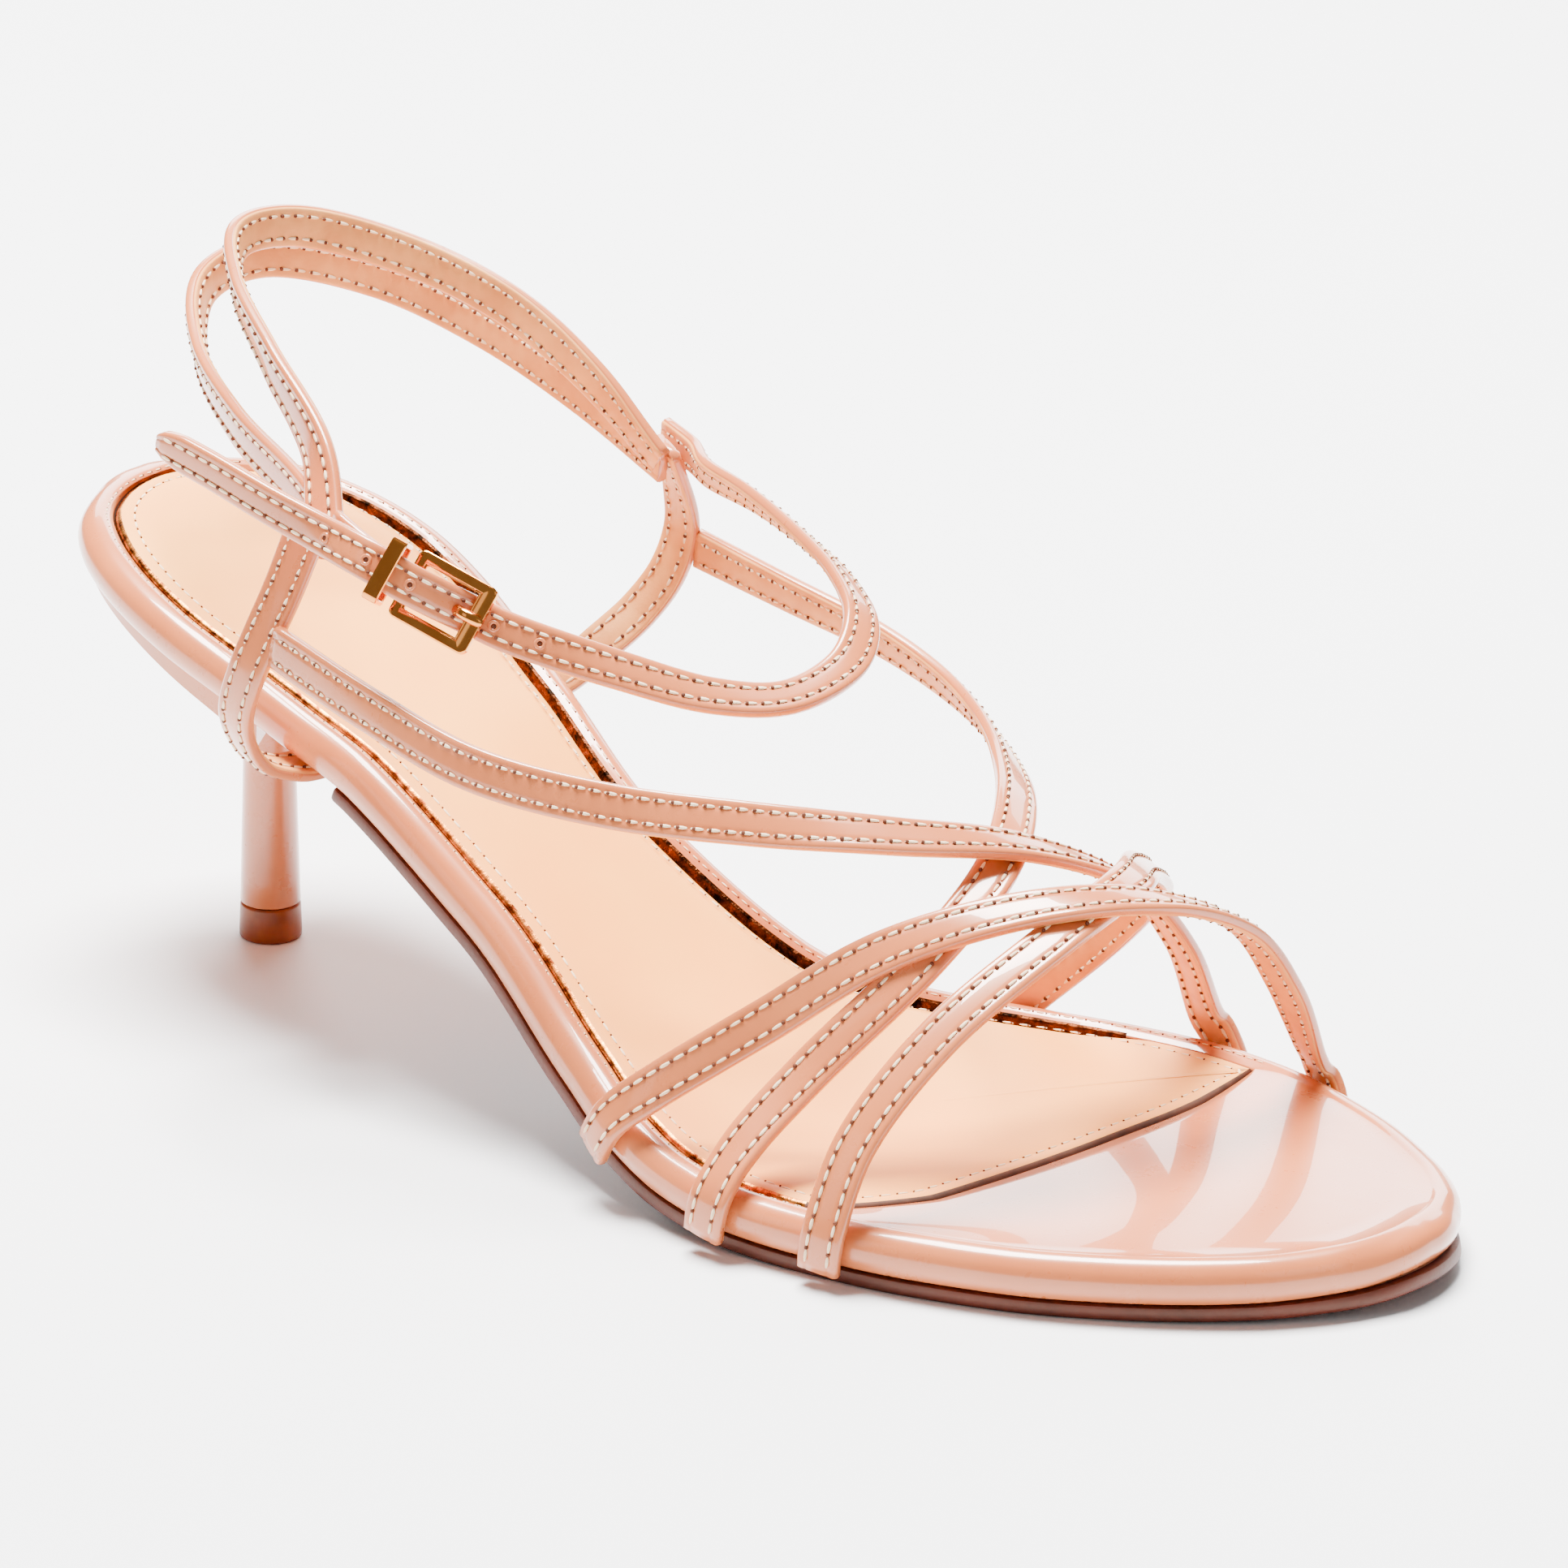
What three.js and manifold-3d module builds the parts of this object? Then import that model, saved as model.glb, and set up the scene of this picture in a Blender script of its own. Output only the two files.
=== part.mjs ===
// A women's strappy heeled sandal, the right shoe of a pair, standing empty on its sole.
// Millimetres, +Z up. The toe points to -Y, the outer (lateral) side is -X, the inner (medial) side +X.
import * as THREE from "three";
import { mergeVertices } from "three/addons/utils/BufferGeometryUtils.js";
import Module from "manifold-3d";

const wasm = await Module();
wasm.setup();

// Driving sizes of the shoe: the tables give widths as percent of the ball width, places from heel
// to toe as percent of the length, and heights as percent of the heel's rise above the tread.
const LENGTH = 230;
const BALL_WIDTH = 85;
const HEEL_RISE = 59;

// Sizes of the sole
const HEEL_BACK_Y = LENGTH / 2;
const OUTSOLE_THICKNESS = 2.2;
const OUTSOLE_REACH = 0.5;
const LAYER_GAP = 0.3;
const RIM_TOP = 6.3;
const RIM_BULGE = 1.5;
const RIM_END_TUCK = 1.2;
const SOCK_FLOOR = 3.2;
const SOCK_TOP = 6.1;
const GROOVE_INSET = 3.4;
const GROOVE_WIDTH = 0.8;
const BREAST_ALONG = 0.288;
const HEEL_FRONT_ALONG = 0.222;

// Sizes of the heel
const HEEL_X = -0.021 * BALL_WIDTH;
const HEEL_Y = 0.377 * LENGTH;
const TIP_HEIGHT = 5.4;
const TIP_RADIUS = 4.6;
const COLUMN_TOP_RADIUS = 3.75;
const COLUMN_TOP_Z = 0.745 * HEEL_RISE;
const COLUMN_BOTTOM_RADIUS = 4.45;

// Sizes of the straps
const STRAP_WIDTH = 6.2;
const ANKLE_STRAP_WIDTH = 5.6;
const STRAP_THICKNESS = 1.8;
const STRAP_EDGE = 0.55;
const STRAP_STEP = 4.6;
const STRAP_STAND_OFF = 2.9;

// Sizes of the buckle
const BUCKLE_LENGTH = 12.2;
const BUCKLE_HEIGHT = 10.2;
const BAR = 1.3;
const FRONT_BAR_WIDTH = 1.8;
const BACK_BAR_RADIUS = 0.6;
const PRONG_RADIUS = 0.6;
const KEEPER_WIDTH = 2.2;
const KEEPER_WALL = 0.9;
const KEEPER_FORWARD = -8.7;

// The straight line from heel to toe, beside the middle of the overall box where the origin lies.
const HEEL_TO_TOE_X = 5.82;

const LOOP_POINTS = 64;
const HEEL_POINTS = 32;
const SPINE_FROM = 0.11;
const SPINE_TO = 0.9;
const SOCK_SPINE_TO = 0.66;

// The feather line, where the rim meets the outsole: half widths on each side of the straight
// line from heel to toe, and rise above the tread. Only along is a share of one.
const SOLE = [
  { along: 0, lateral: 0, medial: 0, rise: 100 },
  { along: 0.02, lateral: 17.2, medial: 14.8, rise: 97.8 },
  { along: 0.05, lateral: 25.4, medial: 23.8, rise: 95.3 },
  { along: 0.1, lateral: 32.2, medial: 29.6, rise: 90.2 },
  { along: 0.15, lateral: 35.5, medial: 30.1, rise: 84.6 },
  { along: 0.2, lateral: 36.5, medial: 26.6, rise: 78.5 },
  { along: 0.25, lateral: 36.9, medial: 21.2, rise: 71.5 },
  { along: 0.3, lateral: 37.2, medial: 15.5, rise: 63.9 },
  { along: 0.4, lateral: 40.4, medial: 8, rise: 42.2 },
  { along: 0.5, lateral: 47.9, medial: 12.4, rise: 18 },
  { along: 0.55, lateral: 52.7, medial: 21.2, rise: 8.6 },
  { along: 0.6, lateral: 56, medial: 31.1, rise: 3.1 },
  { along: 0.65, lateral: 57.2, medial: 38.1, rise: 0.7 },
  { along: 0.7, lateral: 56, medial: 42.2, rise: 0 },
  { along: 0.76, lateral: 53.2, medial: 43.5, rise: 0 },
  { along: 0.82, lateral: 47.8, medial: 40.9, rise: 0 },
  { along: 0.88, lateral: 39.3, medial: 34.6, rise: 0.2 },
  { along: 0.94, lateral: 27.3, medial: 24.7, rise: 0.8 },
  { along: 0.98, lateral: 15.2, medial: 14.6, rise: 2 },
  { along: 1, lateral: 0, medial: 0, rise: 3.7 },
];

// The slanting front edge of the sock, from the outer side to the inner side.
const SOCK_FRONT = [
  { share: 0, x: -51.2, y: -21.5 },
  { share: 0.1, x: -42.4, y: -23.6 },
  { share: 0.28, x: -26.9, y: -25.3 },
  { share: 0.59, x: 1.1, y: -27.3 },
  { share: 0.86, x: 24.5, y: -28.3 },
  { share: 1, x: 38.4, y: -28.1 },
];
const FRONT_LATERAL_ALONG = 0.715;
const FRONT_MEDIAL_ALONG = 0.782;

// The middle of the foot and leg, which the straps' faces look away from.
const FOOT_MIDDLE = [
  { x: -4.7, y: -48.7, z: 10.2 },
  { x: -4.7, y: -26.1, z: 23.7 },
  { x: -3.5, y: -8.7, z: 44.1 },
  { x: -2.4, y: 8.7, z: 74.6 },
  { x: -1.2, y: 21.7, z: 105.1 },
  { x: -1.2, y: 24.3, z: 135.6 },
  { x: -1.2, y: 25.2, z: 254.2 },
];

// A toe strap's end: how high above the feather line, and how far inside the stand-off.
const STRAP_END = [
  { lift: 0.2, inset: 0.3 },
  { lift: 3.2, inset: 0 },
  { lift: 6.4, inset: 0.7 },
];

// Each toe strap's centre line between its ends; x is percent of the ball width, y of the length
// and z of the heel's rise. An end's lean is how far it runs towards the toe as it rises.
const FORE_STRAPS = {
  // From the rear outer edge over everything to the front inner edge.
  top: {
    from: { side: "lateral", along: 0.547, lean: 0.15 },
    to: { side: "medial", along: 0.82, lean: -0.4 },
    rows: [
      { x: -51.9, y: -8.3, z: 31.7 },
      { x: -40.9, y: -12.9, z: 46.9 },
      { x: -28.7, y: -17.8, z: 62.9 },
      { x: -14.4, y: -24.3, z: 73.7 },
      { x: 3.3, y: -28.7, z: 72.5 },
      { x: 22.1, y: -30.6, z: 59.2 },
      { x: 31.8, y: -31.3, z: 41.4 },
      { x: 42, y: -31, z: 19.2 },
    ],
  },
  // From the outer edge across the toes to the inner side, then back to the inner post.
  sweepInner: {
    from: { side: "lateral", along: 0.641, lean: 0.1 },
    rows: [
      { x: -53.6, y: -14.9, z: 24.4 },
      { x: -41.5, y: -16.3, z: 38.3 },
      { x: -24.9, y: -20.1, z: 62.5 },
      { x: -8.2, y: -20.4, z: 76.3 },
      { x: 8.9, y: -17.3, z: 82.2 },
      { x: 25.6, y: -11.9, z: 83.6 },
      { x: 36.6, y: -5.5, z: 87.5 },
      { x: 41.2, y: 1.2, z: 92.7 },
      { x: 42.2, y: 9.2, z: 98 },
      { x: 43.6, y: 16.7, z: 102.5 },
    ],
  },
  // From the front outer edge over the instep to the rear inner edge.
  low: {
    from: { side: "lateral", along: 0.718, lean: 0.1 },
    to: { side: "medial", along: 0.603, lean: 0.5 },
    rows: [
      { x: -51.4, y: -22.5, z: 32 },
      { x: -36.4, y: -24.1, z: 52.2 },
      { x: -15.1, y: -26.3, z: 68 },
      { x: 6, y: -26.2, z: 72.9 },
      { x: 21.6, y: -23.3, z: 67.5 },
      { x: 39.4, y: -19.7, z: 52 },
      { x: 42.9, y: -16, z: 35.6 },
    ],
  },
  // From the inner edge over the instep to the outer post.
  sweepOuter: {
    from: { side: "medial", along: 0.743, lean: -0.35 },
    rows: [
      { x: 44.8, y: -22.7, z: 19 },
      { x: 32.2, y: -23.7, z: 43.6 },
      { x: 18.9, y: -23.2, z: 64.2 },
      { x: -1.1, y: -20.9, z: 79.8 },
      { x: -19.3, y: -16.3, z: 85.9 },
      { x: -34.5, y: -9.9, z: 89.2 },
      { x: -46.1, y: -2.4, z: 91.5 },
      { x: -52.9, y: 5.6, z: 95.6 },
      { x: -53.5, y: 13.3, z: 103.1 },
      { x: -50.9, y: 21.5, z: 110.3 },
    ],
  },
};

// The posts rise from a tuck under the waist of the sole to the ankle joints.
const POSTS = {
  lateral: [
    { x: -30, y: 24.1, z: 71.2 },
    { x: -37.2, y: 24.6, z: 71.5 },
    { x: -43.8, y: 25, z: 75.3 },
    { x: -48.9, y: 24.8, z: 82.7 },
    { x: -51.9, y: 24.3, z: 91.4 },
    { x: -52.2, y: 23.4, z: 101.7 },
    { x: -50, y: 22.6, z: 112.5 },
    { x: -47.2, y: 22, z: 122.2 },
    { x: -43.8, y: 21.1, z: 137.5 },
  ],
  medial: [
    { x: 11.2, y: 24.3, z: 69.3 },
    { x: 18.2, y: 23.4, z: 68.8 },
    { x: 25.1, y: 22.1, z: 71.9 },
    { x: 31.5, y: 20.8, z: 79 },
    { x: 37.4, y: 19.6, z: 86.4 },
    { x: 41.4, y: 18.5, z: 95.8 },
    { x: 42.8, y: 17.8, z: 106.9 },
    { x: 40.7, y: 17.4, z: 116.9 },
    { x: 35.8, y: 17.1, z: 131.2 },
  ],
};

// Two straps round the back of the ankle, from the outer joint to the inner joint.
const HEEL_STRAPS = {
  upper: [
    { x: -43.4, y: 19.9, z: 135.9 },
    { x: -33.9, y: 23.5, z: 150 },
    { x: -24, y: 30.3, z: 163.1 },
    { x: -13.6, y: 36.3, z: 172.9 },
    { x: -1.1, y: 40.1, z: 178.6 },
    { x: 12.5, y: 39.6, z: 177.3 },
    { x: 24.7, y: 34.4, z: 169.8 },
    { x: 30.6, y: 28, z: 159.7 },
    { x: 32.7, y: 22.3, z: 146.1 },
    { x: 33.6, y: 16.9, z: 128.3 },
  ],
  lower: [
    { x: -41.9, y: 20, z: 134.2 },
    { x: -34.2, y: 25.3, z: 139.8 },
    { x: -25.4, y: 32.6, z: 145.8 },
    { x: -12.9, y: 39.7, z: 153.6 },
    { x: 1.2, y: 43.7, z: 163.4 },
    { x: 14.4, y: 43, z: 166.3 },
    { x: 26.9, y: 37.7, z: 161 },
    { x: 34.1, y: 31.2, z: 150.7 },
    { x: 36.5, y: 24, z: 138.3 },
    { x: 34.1, y: 16.8, z: 127.1 },
  ],
};

// The buckle's place on the outer side, and the directions along, across and out of the strap.
const BUCKLE_PLACE = { x: -45.1, y: 10.2, z: 128.8 };
const BUCKLE_FORWARD = new THREE.Vector3(0.342, -0.843, -0.415).normalize();
const BUCKLE_OUT = new THREE.Vector3(-0.776, -0.502, 0.381);

// The ankle strap's free end lies outside the outer joint; forward and out are measured at the buckle.
const ANKLE_TAIL = [
  { x: -50.2, y: 30.7, z: 152.5 },
  { x: -50.5, y: 26.3, z: 148.8 },
  { x: -50.6, y: 22.2, z: 144.7 },
  { x: -50.2, y: 18.9, z: 141.4 },
];
const ANKLE_THROUGH_BUCKLE = [
  { forward: -12.6, out: 1.75, across: 0 },
  { forward: -8.8, out: 2.4, across: 0 },
  { forward: -5.4, out: 2.68, across: -0.1 },
  { forward: -1.2, out: 1.2, across: 0 },
  { forward: 1.8, out: 0.1, across: 0.2 },
  { forward: 5.4, out: -1.15, across: 0.4 },
  { forward: 9.4, out: -1.1, across: 0.7 },
];
const ANKLE_FRONT = [
  { x: -30.7, y: 1.3, z: 114.7 },
  { x: -20.8, y: -3, z: 108.3 },
  { x: -11.1, y: -5.8, z: 106.6 },
  { x: 1.9, y: -6.5, z: 110 },
  { x: 11.5, y: -4.9, z: 115.6 },
  { x: 19.2, y: -1.3, z: 120.2 },
  { x: 25.3, y: 3.5, z: 123.7 },
  { x: 30.4, y: 8.7, z: 126.8 },
  { x: 35.2, y: 13.5, z: 127.5 },
  { x: 40.2, y: 16.2, z: 128.1 },
  { x: 42.2, y: 19, z: 130.3 },
];

// The strip that holds the buckle, from the outer joint to the loop round the back bar.
const STRIP_THICKNESS = 1.6;
const STRIP_WIDTH = 5.2;
const BACK_BAR_FORWARD = -BUCKLE_LENGTH / 2 + BAR / 2;
const BACK_BAR_OUT = -0.4;
const FRONT_BAR_OUT = 1.3;
const LOOP_WALL = 0.75;
const LOOP_CLEARANCE = 0.3;
const STRIP_LINE = [
  { forward: BACK_BAR_FORWARD - 1.2, out: BACK_BAR_OUT, across: 0 },
  { forward: -8.8, out: -0.7, across: 0 },
  { forward: -12, out: -1.9, across: 0.2 },
  { forward: -15.5, out: -3.9, across: 0.9 },
  { forward: -19, out: -6.3, across: 1.7 },
];
// How the strip's face has turned at the joint, in the buckle's axes.
const STRIP_END_OUT = new THREE.Vector3(-0.1, -0.49, 0.86);
const HOLE_RADIUS = 1.15;
const HOLE_FORWARD = { from: 0.7, to: 2.5 };
const PRONG_LINE = [
  { forward: BACK_BAR_FORWARD + 1.35, out: BACK_BAR_OUT - 0.25 },
  { forward: -2.2, out: -1.1 },
  { forward: 0, out: -1.5 },
  { forward: 1.1, out: -1.1 },
  { forward: 1.8, out: 0.4 },
  { forward: 2.7, out: 2 },
  { forward: 4.1, out: 2.8 },
  { forward: 6.3, out: 3 },
];

const COLOURS = {
  patent: 0xe8b8a0,
  sock: 0xf0cdae,
  outsole: 0x6e3322,
  amber: 0xc97a22,
  gold: 0xe6b36a,
};

// Monotone cubic interpolation of one column of a table, by its first column.
function column(rows, by, key, at) {
  const last = rows.length - 1;
  const place = THREE.MathUtils.clamp(at, rows[0][by], rows[last][by]);
  let i = 0;
  while (i < last - 1 && place > rows[i + 1][by]) i += 1;
  const width = (k) => rows[k + 1][by] - rows[k][by];
  const slope = (k) => (rows[k + 1][key] - rows[k][key]) / width(k);
  const tangent = (k) => {
    if (k === 0) return slope(0);
    if (k === last) return slope(last - 1);
    const before = slope(k - 1);
    const after = slope(k);
    if (before * after <= 0) return 0;
    const w1 = 2 * width(k) + width(k - 1);
    const w2 = width(k) + 2 * width(k - 1);
    return (w1 + w2) / (w1 / before + w2 / after);
  };
  const t = (place - rows[i][by]) / width(i);
  const h = width(i);
  return (
    (1 + 2 * t) * (1 - t) ** 2 * rows[i][key] +
    t * (1 - t) ** 2 * h * tangent(i) +
    t * t * (3 - 2 * t) * rows[i + 1][key] +
    t * t * (t - 1) * h * tangent(i + 1)
  );
}

// Half widths divided by the sine of the loop angle, which rounds both ends of the sole.
const FULLNESS = SOLE.map((row, i) => {
  const near = SOLE[THREE.MathUtils.clamp(i, 1, SOLE.length - 2)];
  const sine = Math.sin(Math.acos(1 - 2 * near.along));
  return {
    angle: Math.acos(1 - 2 * row.along),
    lateral: near.lateral / sine,
    medial: near.medial / sine,
  };
});

const alongToY = (along) => HEEL_BACK_Y - along * LENGTH;
const yToAlong = (y) => (HEEL_BACK_Y - y) / LENGTH;
const alongToAngle = (along) => Math.acos(1 - 2 * along);
const soleZ = (y) =>
  OUTSOLE_THICKNESS + (HEEL_RISE / 100) * column(SOLE, "along", "rise", yToAlong(y));
const spot = ({ x, y, z }) =>
  new THREE.Vector3((x * BALL_WIDTH) / 100, (y * LENGTH) / 100, (z * HEEL_RISE) / 100);

// The direction square to the sole's long curve at a place along it.
function soleUp(y) {
  const step = 1.5;
  const rise = (soleZ(y + step) - soleZ(y - step)) / (2 * step);
  return new THREE.Vector3(0, -rise, 1).normalize();
}

// A point of the feather line; the angle runs from the heel by the outer side to the toe and back.
function feather(angle) {
  const turn = (angle + 2 * Math.PI) % (2 * Math.PI);
  const half = turn <= Math.PI ? turn : 2 * Math.PI - turn;
  const y = alongToY((1 - Math.cos(half)) / 2);
  const side = turn <= Math.PI ? "lateral" : "medial";
  const width = (BALL_WIDTH / 100) * Math.sin(half) * column(FULLNESS, "angle", side, half);
  return new THREE.Vector3(side === "lateral" ? -width : width, y, soleZ(y));
}

// A point beside the feather line: moved outward in plan, then lifted square to the sole.
function besideFeather(angle, outward, lift) {
  const step = 0.03;
  const way = feather(angle + step).sub(feather(angle - step));
  const out = new THREE.Vector3(way.y, -way.x, 0).normalize();
  const point = feather(angle).addScaledVector(out, outward);
  point.z = soleZ(point.y);
  return point.addScaledVector(soleUp(point.y), lift);
}

// The sole's middle line, held short of both ends so that the ends fan out from it.
function spine(angle, lift, from = SPINE_FROM, to = SPINE_TO) {
  const half = angle <= Math.PI ? angle : 2 * Math.PI - angle;
  const along = THREE.MathUtils.clamp((1 - Math.cos(half)) / 2, from, to);
  const at = alongToAngle(along);
  const x = (feather(at).x + feather(2 * Math.PI - at).x) / 2;
  const y = alongToY(along);
  return new THREE.Vector3(x, y, soleZ(y)).addScaledVector(soleUp(y), lift);
}

const loopAngles = Array.from({ length: LOOP_POINTS }, (_, i) => (2 * Math.PI * i) / LOOP_POINTS);

// A closed mesh from rings of equally many points; the first and last rings close on themselves.
function ringsToGeometry(rings) {
  const vertices = [];
  const faces = [];
  const known = new Map();
  const index = (p) => {
    const key = [p.x, p.y, p.z].map((v) => Math.round(v * 1000)).join();
    if (!known.has(key)) {
      known.set(key, vertices.length);
      vertices.push(p);
    }
    return known.get(key);
  };
  const ids = rings.map((ring) => ring.map(index));
  const add = (a, b, c) => {
    if (a !== b && b !== c && a !== c) faces.push([a, b, c]);
  };
  for (let r = 0; r + 1 < ids.length; r += 1) {
    const n = ids[r].length;
    for (let i = 0; i < n; i += 1) {
      const j = (i + 1) % n;
      add(ids[r][i], ids[r][j], ids[r + 1][i]);
      add(ids[r][j], ids[r + 1][j], ids[r + 1][i]);
    }
  }
  const volume = faces.reduce(
    (sum, [a, b, c]) => sum + vertices[a].dot(vertices[b].clone().cross(vertices[c])),
    0,
  );
  const outward = volume > 0 ? faces : faces.map(([a, b, c]) => [a, c, b]);
  const geometry = new THREE.BufferGeometry();
  const numbers = vertices.flatMap((p) => [p.x, p.y, p.z]);
  geometry.setAttribute("position", new THREE.Float32BufferAttribute(numbers, 3));
  geometry.setIndex(outward.flat());
  geometry.computeVertexNormals();
  return geometry;
}

// Solids for joining and cutting, and the way back to a mesh.
function toSolid(geometry) {
  const bare = geometry.clone();
  bare.deleteAttribute("normal");
  bare.deleteAttribute("uv");
  const merged = mergeVertices(bare, 1e-4);
  return new wasm.Manifold(
    new wasm.Mesh({
      numProp: 3,
      vertProperties: new Float32Array(merged.attributes.position.array),
      triVerts: new Uint32Array(merged.index.array),
    }),
  );
}

function toGeometry(solid) {
  const mesh = solid.getMesh();
  const geometry = new THREE.BufferGeometry();
  geometry.setAttribute("position", new THREE.Float32BufferAttribute(mesh.vertProperties, 3));
  geometry.setIndex(new THREE.Uint32BufferAttribute(mesh.triVerts, 1));
  geometry.computeVertexNormals();
  return geometry;
}

// The sock's outline: the groove inside the rim, cut short in front by the slanting edge.
const frontFrom = Math.max(
  ...loopAngles.filter((a) => a <= alongToAngle(FRONT_LATERAL_ALONG)),
);
const frontTo = Math.min(
  ...loopAngles.filter((a) => a >= 2 * Math.PI - alongToAngle(FRONT_MEDIAL_ALONG)),
);
function sockEdge(angle, inset, lift) {
  if (angle <= frontFrom || angle >= frontTo) {
    return besideFeather(angle, -GROOVE_INSET - inset, lift);
  }
  const share = (angle - frontFrom) / (frontTo - frontFrom);
  const start = besideFeather(frontFrom, -GROOVE_INSET - inset, 0);
  const end = besideFeather(frontTo, -GROOVE_INSET - inset, 0);
  const blend = Math.max(0, 1 - share * 6);
  const tail = Math.max(0, share * 6 - 5);
  const x = (BALL_WIDTH / 100) * column(SOCK_FRONT, "share", "x", share);
  const y = (LENGTH / 100) * column(SOCK_FRONT, "share", "y", share) + inset;
  const px = x + (start.x - x) * blend + (end.x - x) * tail;
  const py = y + (start.y - y) * blend + (end.y - y) * tail;
  return new THREE.Vector3(px, py, soleZ(py)).addScaledVector(soleUp(py), lift);
}

const sockSpine = (angle, lift) => spine(angle, lift, SPINE_FROM, SOCK_SPINE_TO);
const mixed = (a, b, share) => a.clone().lerp(b, share);
const ringOf = (make) => loopAngles.map(make);

// How much less the rim stands out at the heel and the toe than along the sides.
function endTuck(angle) {
  const side = THREE.MathUtils.clamp(Math.abs(Math.sin(angle)) * 2.2, 0, 1);
  return RIM_END_TUCK * (1 - side);
}

// The board with its padded, wrapped rim; its top is hollowed for the sock and covers the toe.
function boardGeometry() {
  const rim = [
    { outward: -1.0, lift: 0 },
    { outward: 0.9, lift: 0.9 },
    { outward: RIM_BULGE, lift: 2.7 },
    { outward: 1.1, lift: 4.6 },
    { outward: -0.2, lift: 5.9 },
    { outward: -1.7, lift: RIM_TOP },
    { outward: -2.6, lift: 6.0 },
  ];
  const top = rim[rim.length - 1];
  const rimRing = ({ outward, lift }) =>
    ringOf((a) => besideFeather(a, lift > 0 ? outward - endTuck(a) : outward, lift));
  const wallTop = 5.5;
  return ringsToGeometry([
    ringOf((a) => spine(a, 0)),
    ringOf((a) => besideFeather(a, -9, 0)),
    ...rim.map(rimRing),
    ...[0.25, 0.5, 0.75].map((share) =>
      ringOf((a) => {
        const outer = besideFeather(a, top.outward - endTuck(a), top.lift);
        return mixed(outer, sockEdge(a, 0, wallTop), share);
      }),
    ),
    ringOf((a) => sockEdge(a, 0, wallTop)),
    ringOf((a) => sockEdge(a, 0.3, SOCK_FLOOR)),
    ringOf((a) => mixed(sockEdge(a, 0.3, SOCK_FLOOR), sockSpine(a, SOCK_FLOOR), 0.5)),
    ringOf((a) => sockSpine(a, SOCK_FLOOR)),
  ]);
}

// The padded sock that lies in the board's hollow.
function sockGeometry() {
  const under = SOCK_FLOOR + LAYER_GAP;
  const edge = [
    { inset: GROOVE_WIDTH + 0.3, lift: under },
    { inset: GROOVE_WIDTH, lift: under + 0.5 },
    { inset: GROOVE_WIDTH, lift: SOCK_TOP - 0.9 },
    { inset: GROOVE_WIDTH + 0.5, lift: SOCK_TOP - 0.25 },
    { inset: GROOVE_WIDTH + 1.6, lift: SOCK_TOP },
  ];
  const inner = edge[edge.length - 1];
  return ringsToGeometry([
    ringOf((a) => sockSpine(a, under)),
    ringOf((a) => mixed(sockEdge(a, 0.3, under), sockSpine(a, under), 0.5)),
    ...edge.map(({ inset, lift }) => ringOf((a) => sockEdge(a, inset, lift))),
    ringOf((a) => mixed(sockEdge(a, inner.inset, SOCK_TOP), sockSpine(a, SOCK_TOP), 0.5)),
    ringOf((a) => sockSpine(a, SOCK_TOP)),
  ]);
}

// The thin outsole, from the toe back to the tucks of the posts, where it ends square.
function outsoleGeometry() {
  const breast = alongToAngle(BREAST_ALONG);
  const rear = alongToY(BREAST_ALONG);
  const onRear = (x, lift) =>
    new THREE.Vector3(x, rear, soleZ(rear)).addScaledVector(soleUp(rear), lift);
  const place = (a, outward, lift) => {
    const half = a <= Math.PI ? a : 2 * Math.PI - a;
    if (half >= breast) {
      const point = besideFeather(a, outward, lift);
      const limit = onRear(point.x, lift);
      return point.y < limit.y ? point : limit;
    }
    const outer = besideFeather(a <= Math.PI ? breast : 2 * Math.PI - breast, outward, lift);
    return onRear(THREE.MathUtils.lerp(spine(breast, lift).x, outer.x, half / breast), lift);
  };
  const edge = [
    { outward: OUTSOLE_REACH - 0.4, lift: -LAYER_GAP },
    { outward: OUTSOLE_REACH, lift: -0.8 },
    { outward: OUTSOLE_REACH - 0.1, lift: -OUTSOLE_THICKNESS + 0.4 },
    { outward: OUTSOLE_REACH - 0.7, lift: -OUTSOLE_THICKNESS },
  ];
  return ringsToGeometry([
    ringOf((a) => spine(a, -LAYER_GAP, BREAST_ALONG, SPINE_TO)),
    ringOf((a) => place(a, -9, -LAYER_GAP)),
    ...edge.map(({ outward, lift }) => ringOf((a) => place(a, outward, lift))),
    ringOf((a) => spine(a, -OUTSOLE_THICKNESS, BREAST_ALONG, SPINE_TO)),
  ]);
}

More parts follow.
